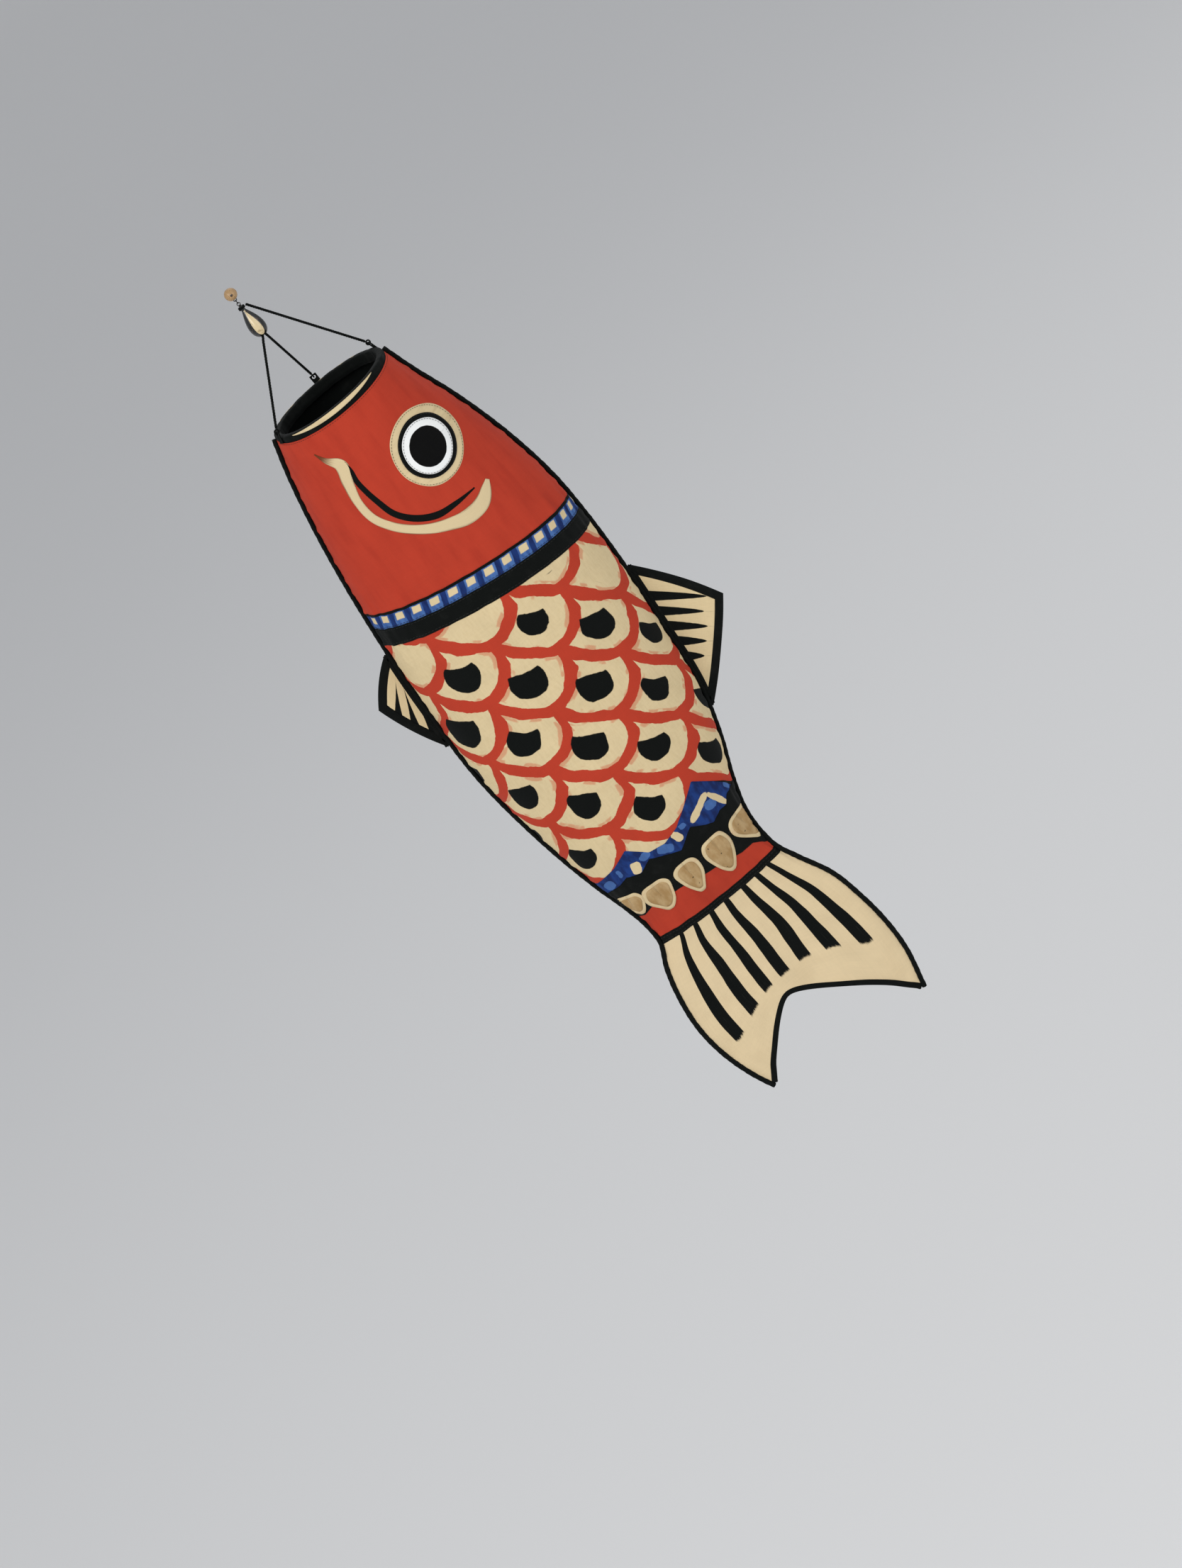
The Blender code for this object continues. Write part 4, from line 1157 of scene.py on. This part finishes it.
def seam_line(start, end, edge, steps):
    """Middle line of the piping along the back (edge +1) or the belly (edge -1)."""
    run = np.linspace(start, end, steps)
    half, middle = section(run)[:2]
    return np.stack([middle + edge * (half - PIPING_INSET), np.zeros(steps), MOUTH_Z - run], -1)


def piping(name, start, end, edge, bend, nodes, radius=PIPING_SEWN / 2):
    """Covered cord along a seam, a little uneven where the stitches pull it in."""
    steps = int((end - start) / 0.0022)
    line = seam_line(start, end, edge, steps)
    run = np.linspace(start, end, steps)
    pulled = radius * (1 + 0.05 * ripple(run, edge * 2.0 + start, ((0.0085, 1.0), (0.021, 0.6))))
    points, faces = tube_parts(line, pulled, 14)
    piece = dress(mesh_object(name, points, faces), piping_look)
    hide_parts(*nodes)
    return bend_with(piece, bend)


piping_look = fibre_finish("piping_cloth", BLACK, DUSTY_BLACK, 1300.0)
for label, edge in (("back", 1), ("belly", -1)):
    piping("piping_" + label, PIPING_START, STEM_PIPING, edge, BEND_NECK,
           [f"head_{label}_piping", f"body_{label}_piping"])

# ------------------------------------------------------------------ fins
# Each fin is two layers of cream cloth with black tapering rays, bound with broad black tape
# along its two free edges and its root, and tacked to the body's seam.

FIN_STAND = 0.0018        # between the seam's piping and a fin's base
FIN_BOW = 0.0035
TAPE = 0.0026
TAPE_WIDE = 0.0108
ROOT_WIDE = 0.0060
FINS = {                  # side, the base's ends and the tip
    "back_fin": (1, 0.3835, 0.5813, (0.2164, 0.4837)),
    "belly_fin": (-1, 0.2790, 0.4128, (-0.1768, 0.3256)),
}
RAY_LEVEL = np.array((-0.643, 0.7308))  # what x and distance each add to a place's level
RAY_REACH = np.array((0.766, 0.6134))   # and to its reach along the rays
BACK_RAYS = (0.2180, 0.0172, 0.4425)    # first ray's level, between rays, and where they end
BELLY_RAYS = (0.30, 0.60, 0.84)         # places along the rear edge, from the tip to the base


def fin_base(edge, start, end, share, stand=FIN_STAND):
    """A place on a fin's base, as (x, distance below the mouth)."""
    run = start + share * (end - start)
    half, middle = section(run)[:2]
    return np.stack([middle + edge * (half + stand), run], -1)


def fin_outline(edge, start, end, corner, steps=24):
    """Free edges of a fin by way of its tip, as (x, distance)."""
    tip = np.array(corner)
    first, last = fin_base(edge, start, end, 0.0), fin_base(edge, start, end, 1.0)
    middle = (first + last) / 2
    points = []
    for a, b in ((first, tip), (tip, last)):
        out = (a + b) / 2 - middle
        bow = out / np.linalg.norm(out) * FIN_BOW
        points += [a + (b - a) * t + bow * 4 * t * (1 - t) for t in np.linspace(0, 1, steps)[:-1]]
    return np.array(points + [last])


def drawn_in(line, inside, wide):
    """The line moved in by a width, towards the side that a place inside it is on."""
    along = unit(np.gradient(line, axis=0))
    normal = np.stack([-along[:, 1], along[:, 0]], -1)
    normal *= np.sign(((inside - line) * normal).sum(1))[:, None]
    return line + normal * wide


def fin_place(flat_points, edge):
    """Places on a fin as points: its cloth waves a little out of the median plane."""
    x, run = flat_points[..., 0], flat_points[..., 1]
    wave = 0.0022 * np.sin(run * 60) * np.clip((np.abs(x) - 0.15) / 0.05, 0, 1)
    return np.stack([x, edge * wave, MOUTH_Z - run], -1)


def tape_strip(name, outer, inner, edge, steps=14):
    """A strip of tape with rounded edges between two lines."""
    middle, half = (outer + inner) / 2, (outer - inner) / 2
    turns = np.linspace(0, math.tau, steps, endpoint=False)
    flat = middle[:, None] + half[:, None] * np.cos(turns)[None, :, None]
    bulge = TAPE / 2 * np.sign(np.sin(turns)) * np.abs(np.sin(turns))**0.5
    points = fin_place(flat, edge) + np.stack([0 * bulge, bulge, 0 * bulge], -1)[None]
    return dress(mesh_object(name, points.reshape(-1, 3), ring_faces(len(outer), steps)), webbing)


def wedge_cloth(name, wide, blunt, count):
    """Cream cloth with black wedges; its print counts them across and runs 0 to 1 to their points."""
    material, shader, look, place, u, v = cloth_look(name)
    fine = look.node("ShaderNodeVectorMath", {"operation": "MULTIPLY"}, {0: place, 1: (0.03, 0.08, 1.0)})
    bristles = grain(look, fine, 220.0, 3.0, (3.0, 0.4, 1.0))
    nearest = look.math("ROUND", u)
    chance = look.node("ShaderNodeTexWhiteNoise", {"noise_dimensions": "1D"}, {1: nearest})
    left = look.math("MAXIMUM", 1 - v + (chance - 0.5) * 0.12, 0.0)
    half = left ** blunt * wide
    ray = 1 - soft_step(look, abs(u - nearest) + (bristles - 0.5) * 0.05, half, 0.03)
    ray = ray * soft_step(look, u, -0.5, 0.01) * (1 - soft_step(look, u, count - 0.5, 0.01))
    tone = mix(look, soft_step(look, bristles, 0.6, 0.3) * 0.2, CREAM, (0.58, 0.43, 0.22))
    finish_cloth(look, shader, fine, u * 0.02, v * 0.07, mix(look, ray, tone, BLACK))
    return material


fin_prints = {
    "back_fin": wedge_cloth("back_fin_print", 0.35, 0.55, 5),
    "belly_fin": wedge_cloth("belly_fin_print", 0.25, 1.0, 3),
}
for name, (edge, start, end, corner) in FINS.items():
    rim = fin_outline(edge, start, end, corner)
    heart = fin_base(edge, start, end, 0.5) * 0.5 + np.array(corner) * 0.5
    half_way = len(rim) // 2
    lead_edge, rear_edge = rim[:half_way + 1], rim[half_way:]
    lead, rear = (drawn_in(side_edge, heart, TAPE_WIDE) for side_edge in (lead_edge, rear_edge))
    gap = np.linalg.norm(lead[:, None] - rear[None], axis=2)
    i, j = np.unravel_index(gap.argmin(), gap.shape)
    inner = np.concatenate([lead[:i], [(lead[i] + rear[j]) / 2], rear[j + 1:]])
    share = np.linspace(0, 1, 26)[:, None, None]
    root = fin_base(edge, start, end, np.linspace(0.02, 0.98, len(inner)), -0.0010)
    spread = root * (1 - share) + (inner + (inner - heart) * 0.03) * share
    if name == "back_fin":
        level = spread @ RAY_LEVEL
        foot = np.interp(level, root @ RAY_LEVEL, root @ RAY_REACH)
        across = (level - BACK_RAYS[0]) / BACK_RAYS[1]
        along = (spread @ RAY_REACH - foot) / np.maximum(BACK_RAYS[2] - foot, 0.01)
    else:
        x, run = spread[..., 0], spread[..., 1]
        apex = inner[0]
        turn = np.arctan2(x - apex[0], run - apex[1])
        first = np.arctan2(*(inner[i] - apex))
        last = np.arctan2(*(inner[-1] - apex))
        share_turned = (turn - first) / (last - first)
        across = np.interp(share_turned, (0.0, *BELLY_RAYS, 1.0), (-0.8, 0.0, 1.0, 2.0, 2.6))
        edge_turn = np.arctan2(inner[i:, 0] - apex[0], inner[i:, 1] - apex[1])
        far = np.interp(turn, edge_turn, np.linalg.norm(inner[i:] - apex, axis=1))
        along = 1.75 * (1 - np.hypot(x - apex[0], run - apex[1]) / far)
    flat = np.stack([across, along], -1)
    points = fin_place(spread, edge)
    cloth = lay_sheet(name + "_cloth", [points - (0, CLOTH, 0), points + (0, CLOTH, 0)], [flat, flat],
                      [fin_prints[name]], 0.0006)
    wide, long, area = sheet_size(points)
    stand_in(cloth, name, name)
    lead_tape = tape_strip(name + "_front_tape", lead_edge, lead, edge)
    rear_tape = tape_strip(name + "_rear_tape", rear_edge, rear, edge)
    root_line = fin_base(edge, start, end, np.linspace(0.01, 0.99, 40), -0.0012)
    root_tape = tape_strip(name + "_root_tape", root_line + (edge * ROOT_WIDE, 0), root_line, edge)
    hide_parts(name + "_binding")
    for tape in (lead_tape, rear_tape, root_tape):
        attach(tape, name)
        name + "_binding"

# ------------------------------------------------------------------ border
# The body ends in a jagged border: blue cloth brushed with paler and cream patches, cut to
# follow the last scales, and over its lower edge a zigzag of black.

# Places along the girth, and below the mouth
BLUE_EDGE = ((-0.150, 0.662), (-0.120, 0.656), (-0.0896, 0.646), (-0.0644, 0.632), (-0.0434, 0.650),
             (-0.0224, 0.6525), (0.000, 0.645), (0.0476, 0.611), (0.0728, 0.6336), (0.098, 0.6546),
             (0.130, 0.666))
BLUE_PEAK = (0.0476, 0.611)
BLACK_EDGE = ((-0.150, 0.682), (-0.123, 0.6756), (-0.098, 0.670), (-0.084, 0.664), (-0.066, 0.6686),
              (-0.0476, 0.6574), (-0.0294, 0.666), (-0.0126, 0.6735), (0.0126, 0.656), (0.028, 0.667),
              (0.039, 0.6725), (0.053, 0.666), (0.0656, 0.668), (0.0756, 0.658), (0.098, 0.656),
              (0.130, 0.668))
# Along the girth, below the mouth, half length, half width, turn in degrees
PALE_PATCHES = ((-0.1134, 0.6658, 0.0100, 0.0065, -15), (-0.0896, 0.6560, 0.0030, 0.0048, 0),
                (-0.0504, 0.6518, 0.0070, 0.0048, -30), (-0.0252, 0.6588, 0.0105, 0.0058, 25),
                (0.0476, 0.6518, 0.0085, 0.0060, 0), (0.0060, 0.6480, 0.0045, 0.0040, 0),
                (0.0850, 0.6500, 0.0075, 0.0040, 50))
CREAM_PATCHES = ((-0.0666, 0.6588, 0.0062, 0.0085, 10), (-0.0062, 0.6546, 0.0050, 0.0080, -20),
                 (0.0336, 0.6447, 0.0190, 0.0046, -26), (0.0595, 0.6520, 0.0165, 0.0042, 58))


def cut_edge(knots):
    """A cloth's edge cut through these places on the print, as a distance for each turn."""
    degrees = np.linspace(-90, 90, 181)
    flat = flank_grid(0.58, 0.78, LEFT, 181, 41)[1]
    level = np.full(181, 0.66)
    for _ in range(24):
        here = [np.interp(level[j], flat[:, j, 1], flat[:, j, 0]) for j in range(181)]
        level = (level + np.interp(here, *np.array(knots).T)) / 2
    return lambda turn: np.interp(turn, degrees, level)


def patch_mask(look, u, v, patch):
    """1 inside a brushed patch of a rounded square's outline."""
    along, down, half_long, half_wide, turn = patch
    c, s = math.cos(math.radians(turn)), math.sin(math.radians(turn))
    a = abs((u - along) * c + (v - down) * s) / half_long
    b = abs((v - down) * c - (u - along) * s) / half_wide
    return 1 - soft_step(look, look.math("SQRT", a ** 3.0 + b ** 3.0), 1.0, 0.12)


def border_cloth(name):
    """Blue brushed cloth with paler and cream patches, and a black line along its back edge."""
    material, shader, look, place, u, v = cloth_look(name)
    u_hand, v_hand = by_hand(look, place, u, 0.0030, 0.0012), by_hand(look, place, v, 0.0030, 0.0012, 2.0)
    strokes = grain(look, place, 120.0, 3.0, (1.0, 0.45, 1.0))
    tone = mix(look, soft_step(look, strokes, 0.50, 0.30), DARK_BLUE, BLUE)
    pale = 0.0
    for patch in PALE_PATCHES:
        pale = look.math("MAXIMUM", pale, patch_mask(look, u_hand, v_hand, patch))
    tone = mix(look, pale * (0.55 + strokes * 0.5), tone, SOFT_BLUE)
    cream = 0.0
    for patch in CREAM_PATCHES:
        cream = look.math("MAXIMUM", cream, patch_mask(look, u_hand, v_hand, patch))
    tone = mix(look, cream, tone, CREAM)
    past, below = u - BLUE_PEAK[0], v - BLUE_PEAK[1]
    line = (1 - soft_step(look, below - past * 0.865, 0.0034, 0.0010)) * soft_step(look, u, 0.046, 0.002)
    tone = mix(look, line, tone, BLACK)
    finish_cloth(look, shader, place, u, v, tone)
    return material


band("border_band", cut_edge(BLUE_EDGE), BORDER_MIDDLE + 0.004,
     border_cloth("border_blue"), BEND_STEM, "border_blue_band", 0.0005, 22, 181)
band("border_zigzag", cut_edge(BLACK_EDGE), STEM_TOP + 0.0008,
     black_cotton, BEND_STEM, "border_black_band", 0.0009, 18, 181)

# ------------------------------------------------------------------ tail stem
# The narrow stem is red again, with five pebble-shaped patches sewn over black along its top; under each
# pebble the black dips lower as a painted shadow.

# Place towards the back, top below the mouth, half width, length, and how far the point leans
PEBBLES = ((0.0640, 0.6890, 0.0200, 0.0500, 0.0090), (0.0218, 0.6860, 0.0195, 0.0570, -0.0010),
           (-0.0222, 0.6865, 0.0172, 0.0500, 0.0000), (-0.0650, 0.6850, 0.0190, 0.0450, 0.0010),
           (-0.0975, 0.6820, 0.0150, 0.0340, 0.0030))
# Lower edge of the black under the pebbles, along the girth and below the mouth: black ground between them,
# painted shadow where it dips under their lower sides.
PEBBLE_BACKING_AND_SHADOW_EDGE = ((-0.150, 0.726), (-0.098, 0.723), (-0.0826, 0.716), (-0.0434, 0.7145), (-0.003, 0.7205),
               (0.016, 0.7235), (0.042, 0.7316), (0.060, 0.733), (0.078, 0.748), (0.130, 0.754))
TAN = (0.40, 0.245, 0.100)

for label, side in SIDES:
    points, print_at, _ = flank_grid(STEM_TOP - 0.001, STEM_END + 0.0008, side, 101, 30)
    sew_panel("stem_cloth_" + label, points, print_at, [red_print], "stem_panel_" + label, BEND_STEM)
for label, edge in (("back", 1), ("belly", -1)):
    piping("stem_piping_" + label, STEM_PIPING, TAIL_PIPING, edge, BEND_STEM, [f"stem_{label}_piping"])


def pebble_cloth(name):
    """Tan brushed cloth with a few dark ticks."""
    material, shader, look, place, u, v = cloth_look(name)
    strokes = grain(look, place, 140.0, 3.0, (1.0, 0.4, 1.0))
    tick = soft_step(look, grain(look, place, 110.0, 2.0), 0.70, 0.03)
    tone = mix(look, soft_step(look, strokes, 0.5, 0.4), TAN, (0.52, 0.36, 0.18))
    tone = mix(look, tick * 0.85, tone, (0.03, 0.02, 0.01))
    finish_cloth(look, shader, place, u, v, tone)
    return material


def pebble_grid(x, top, half, length, lean, side, lift, inset):
    """A pebble: blunt at the top, widest a third of the way down, and drawn to a point."""
    share = np.linspace(0, 1, 9)[:, None]
    turns = np.linspace(0, math.tau, 61)
    down = (1 - np.cos(turns)) / 2
    outline = np.abs(np.sin(turns))**0.55 * (1.16 - 0.78 * down**1.6)
    outline = outline * (1 + 0.035 * np.sin(3 * turns + x * 90) + 0.025 * np.sin(5 * turns + x * 50))
    wide = (half - inset) * np.sign(np.sin(turns)) * outline
    long = inset + (length - 2.2 * inset) * down
    middle = length * 0.42
    across = x + share * (wide + lean * down**1.5) + (1 - share) * lean * 0.2
    run = top + share * long + (1 - share) * middle
    size, centre = section(run)[:2]
    limit = size - PIPING - 0.0012
    across = np.clip(across, centre - limit, centre + limit)
    return beside(across, run, side, lift), np.stack([across, run], -1)


pebble_tan = pebble_cloth("pebble_tan")
cream_rim = cream_cloth("pebble_rim", CREAM, (0.62, 0.36, 0.20), 0.4)
for label, side in SIDES:
    # Black cloth behind the pebbles, partly real ground and partly painted shadow under each pebble.
    under = flank_grid(STEM_TOP - 0.001, cut_edge(PEBBLE_BACKING_AND_SHADOW_EDGE), side, 141, 14, 0.0004)
    backing_and_shadow = lay_sheet("pebble_backing_" + label, [under[0]], [under[1]], [black_cotton], 0.0005)
    bend_with(backing_and_shadow, BEND_STEM)
    for name, finish, lift, inset in (("pebble_rims", cream_rim, 0.0017, 0.0),
                                      ("pebbles", pebble_tan, 0.0024, 0.0046)):
        grids = [pebble_grid(*pebble, side, lift, inset) for pebble in PEBBLES]
        piece = lay_sheet(f"{name}_{label}", [g[0] for g in grids], [g[1] for g in grids], [finish], 0.0006)
        if inset == 0.0:
            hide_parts("pebble_row_" + label)
        bend_with(piece, BEND_STEM)

# ------------------------------------------------------------------ tail
# A black tape joins the stem to the tail. The tail is two cream panels with seven black rays,
# bound at the back and belly and hemmed along the notched end, which is open to let the wind out.

RAY_LEVELS = (0.770, 0.820, 0.900)
RAY_LEANS = ((-0.713, -0.497, -0.220, 0.023, 0.320, 0.549, 0.765),    # the rays' places at each level
             (-0.755, -0.470, -0.222, 0.000, 0.285, 0.494, 0.752),
             (-0.800, -0.485, -0.250, -0.040, 0.175, 0.450, 0.758))
RAY_ENDS = (0.9180, 0.9000, 0.8900, 0.8890, 0.8900, 0.9020, 0.9300)
TAIL_CREAM = (0.745, 0.590, 0.360)
NOTCH_LEAN = -0.16        # the notch's place between the belly (-1) and the back (1) seam
NOTCH_ROUND = 0.12
HEM = 0.0074              # across the rolled hem
HEM_THICK = 0.0038


def ray_cloth(name):
    """Cream cloth with black brushed rays; its print counts them across and runs 0 to 1 along."""
    material, shader, look, place, u, v = cloth_look(name)
    fine = look.node("ShaderNodeVectorMath", {"operation": "MULTIPLY"}, {0: place, 1: (0.03, 0.13, 1.0)})
    bristles = grain(look, fine, 300.0, 3.0, (4.0, 0.10, 1.0))
    frayed = grain(look, fine, 420.0, 2.0, (4.0, 0.20, 1.0))
    wander = grain(look, fine, 30.0, 1.0)
    nearest = look.math("ROUND", u)
    half = 0.158 + look.math("MINIMUM", v * 1.4, 1.0) * 0.088
    off = abs(u - nearest) + (wander - 0.5) * 0.07 + (bristles - 0.5) * 0.02
    ray = ((1 - soft_step(look, off, half, 0.012))
           * (1 - soft_step(look, v + (frayed - 0.5) * 0.09, 1.0, 0.02))
           * soft_step(look, u, -0.5, 0.01) * (1 - soft_step(look, u, 6.5, 0.01)))
    worn = soft_step(look, bristles, 0.66, 0.10) * soft_step(look, frayed, 0.5, 0.3)
    tone = mix(look, soft_step(look, wander, 0.6, 0.3) * 0.15, TAIL_CREAM, (0.62, 0.46, 0.26))
    tone = mix(look, ray, tone, mix(look, worn * 0.5, BLACK, (0.03, 0.03, 0.025)))
    finish_cloth(look, shader, fine, u * 0.03, v * 0.13, tone)
    return material


def tail_end(lean):
    """How far below the mouth the tail's trailing edge is: a notch between two tips."""
    towards_back = lean > NOTCH_LEAN
    away = np.hypot(lean - NOTCH_LEAN, NOTCH_ROUND) - NOTCH_ROUND
    reach = np.where(towards_back, math.hypot(1 - NOTCH_LEAN, NOTCH_ROUND),
                     math.hypot(1 + NOTCH_LEAN, NOTCH_ROUND)) - NOTCH_ROUND
    tip = np.where(towards_back, BACK_TIP, BELLY_TIP)
    return NOTCH + (tip - 0.003 - NOTCH) * away / reach


def hem_roll(line):
    """A flat rolled hem along a line: wide down the fish, thin across it."""
    turns = np.linspace(0, math.tau, 12, endpoint=False)
    flat = unit(np.cross(unit(np.gradient(line, axis=0)), (0.0, 1.0, 0.0)))
    points = (line[:, None] + flat[:, None] * (np.cos(turns) * HEM / 2)[None, :, None]
              + np.array((0.0, 1.0, 0.0)) * (np.sin(turns) * HEM_THICK / 2)[None, :, None])
    return points.reshape(-1, 3), ring_faces(len(line), 12)


band("tail_seam", STEM_END - 0.001, TAIL_TOP + 0.001, black_cotton, BEND_TAIL, "tail_seam_band",
     0.0006, 6, 101)
tail_print = ray_cloth("tail_print")
for label, side in SIDES:
    points, _, depth = flank_grid(TAIL_TOP - 0.001, lambda d: tail_end(np.sin(np.radians(d))), side, 121, 110)
    lean = np.broadcast_to(np.sin(np.radians(np.linspace(-90, 90, 121))), depth.shape)
    ray, finish_at = np.empty(depth.shape), np.empty(depth.shape)
    for i in range(len(depth)):
        leans = [np.interp(depth[i, 60], RAY_LEVELS, column) for column in zip(*RAY_LEANS)]
        knots = [leans[0] - 0.22, *leans, leans[-1] + 0.22]
        ray[i] = np.interp(lean[i], knots, np.arange(-1.0, 8.0))
        finish_at[i] = np.interp(lean[i], leans, RAY_ENDS)
    along = (depth - TAIL_TOP) / (finish_at - TAIL_TOP)
    sew_panel("tail_cloth_" + label, points, np.stack([ray, along], -1), [tail_print],
              "tail_panel_" + label, BEND_TAIL)
    degrees = np.linspace(-82, 83, 140)
    end = tail_end(np.sin(np.radians(degrees)))
    hem_line = laid(end + 0.0008, degrees, side, -0.0008)
    hem_points, hem_faces = hem_roll(hem_line)
    hem = dress(mesh_object("hem_" + label, hem_points, hem_faces), piping_look)
    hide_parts("tail_hem_" + label)
    bend_with(hem, BEND_TAIL)
for label, edge, end in (("back", 1, BACK_TIP), ("belly", -1, BELLY_TIP)):
    piping("tail_binding_" + label, TAIL_PIPING, end, edge, BEND_TAIL, [f"tail_{label}_binding"])

# ------------------------------------------------------------------ stitching
# Rows of dark thread hold the bands, the bindings and the eyes.

# Half width, half height and lift of the stitching round each layer of an eye
EYE_STITCHES = ((0.0421, 0.0437, 0.0008), (0.0337, 0.0350, 0.0019), (0.0288, 0.0300, 0.0033))

neck_rows, mouth_rows, eye_rows, stem_rows, tail_rows = [], [], [], [], []
for label, side in SIDES:
    degrees = np.linspace(-86, 86, 240)
    for run in (COLLAR_MIDDLE - 0.0016, COLLAR_MIDDLE + 0.0022, COLLAR_END - 0.0020):
        neck_rows.append(laid(np.full(240, run), degrees, side, 0.0007))
    mouth_rows.append(laid(cheek_start(degrees) + 0.0018, degrees, side, 0.0002))
    stem_rows.append(laid(np.full(240, STEM_TOP - 0.0025), degrees, side, 0.0011))
    tail_rows.append(laid(np.full(240, STEM_END + 0.0020), degrees, side, 0.0009))
    tail_rows.append(laid(np.full(240, TAIL_TOP - 0.0016), degrees, side, 0.0009))
    turns = np.linspace(0, math.tau, 160)
    for wide, tall, lift in EYE_STITCHES:
        eye_rows.append(beside(EYE[0] + wide * np.cos(turns), EYE[1] + tall * np.sin(turns), side, lift))
for name, rows, slot_name, bend in (("neck_stitches", neck_rows, "collar_black_band", BEND_NECK),
                                    ("stem_stitches", stem_rows, "border_black_band", BEND_STEM),
                                    ("tail_stitches", tail_rows, "tail_seam_band", BEND_TAIL)):
    sewn = stitch_run(name, rows, dark_thread)
    bend_with(sewn, bend)
for name, rows, slot_name in (("mouth_stitches", mouth_rows, "mouth_binding"),
                              ("eye_stitches", eye_rows, "eye_ring_left")):
    sewn = stitch_run(name, rows, dark_thread, 0.0024, 0.0036, 0.00024)
    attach(sewn, "head")

# ------------------------------------------------------------------ studio
# A wide pale floor under the hanging fish that curves up all round, and large soft lights.

FLOOR_Z = -2.05
FLOOR_REACH = 16.0
FLOOR_CURVE = 5.0
FLOOR_PALE = (0.80, 0.80, 0.79)
AIM = Vector((-0.0436, 0.0, -0.7177))
ELEVATION = math.radians(17.5)
ROLL = math.radians(-40.0)
LENS = 135.0
FRAME_TALL = 1.827        # height of the view at the fish, in metres
SENSOR = 36.0
SKY = (0.93, 0.95, 1.0, 1.0)
SKY_STRENGTH = 0.52

sweep = [(0.0, FLOOR_Z), (FLOOR_REACH, FLOOR_Z)]
sweep += [(FLOOR_REACH + FLOOR_CURVE * math.sin(a), FLOOR_Z + FLOOR_CURVE * (1 - math.cos(a)))
          for a in np.linspace(0.1, 1.5, 14)]
floor = turned("studio_floor", sweep[::-1], 96)
bpy.ops.object.mode_set(mode="EDIT")
bpy.ops.mesh.select_all(action="SELECT")
bpy.ops.mesh.flip_normals()
bpy.ops.object.mode_set(mode="OBJECT")
material, shader, look = new_finish("pale_floor", 0.9)
paint(look, shader, mix(look, grain(look, object_place(look), 1.5, 2.0) * 0.04, FLOOR_PALE, (0.7, 0.7, 0.69)))
dress(floor, material)

distance = FRAME_TALL / 2 / (SENSOR / 2 / LENS)
back = Vector((0, -math.cos(ELEVATION), math.sin(ELEVATION)))
camera_data = bpy.data.cameras.new("camera")
camera_data.lens = LENS
camera_data.sensor_width = SENSOR
camera = bpy.data.objects.new("camera", camera_data)
bpy.context.scene.collection.objects.link(camera)
turn = (-back).to_track_quat("-Z", "Y").to_matrix().to_4x4() @ Matrix.Rotation(ROLL, 4, "Z")
camera.matrix_world = Matrix.Translation(AIM + back * distance) @ turn
bpy.context.scene.camera = camera


def soft_light(name, place, size, power):
    """A large square light aimed at the fish."""
    data = bpy.data.lights.new(name, "AREA")
    data.size = size
    data.energy = power
    lamp = bpy.data.objects.new(name, data)
    bpy.context.scene.collection.objects.link(lamp)
    lamp.location = place
    lamp.rotation_euler = (AIM - Vector(place)).to_track_quat("-Z", "Y").to_euler()
    return lamp


soft_light("key", (-3.2, -4.2, 2.6), 3.2, 175)
soft_light("fill", (4.2, -3.6, 0.6), 3.5, 70)
soft_light("back", (2.5, 3.6, 3.4), 3.5, 55)
world = bpy.data.worlds.new("studio")
world.use_nodes = True
world.node_tree.nodes["Background"].inputs["Color"].default_value = SKY
world.node_tree.nodes["Background"].inputs["Strength"].default_value = SKY_STRENGTH
bpy.context.scene.world = world
bpy.context.scene.view_settings.view_transform = "Standard"
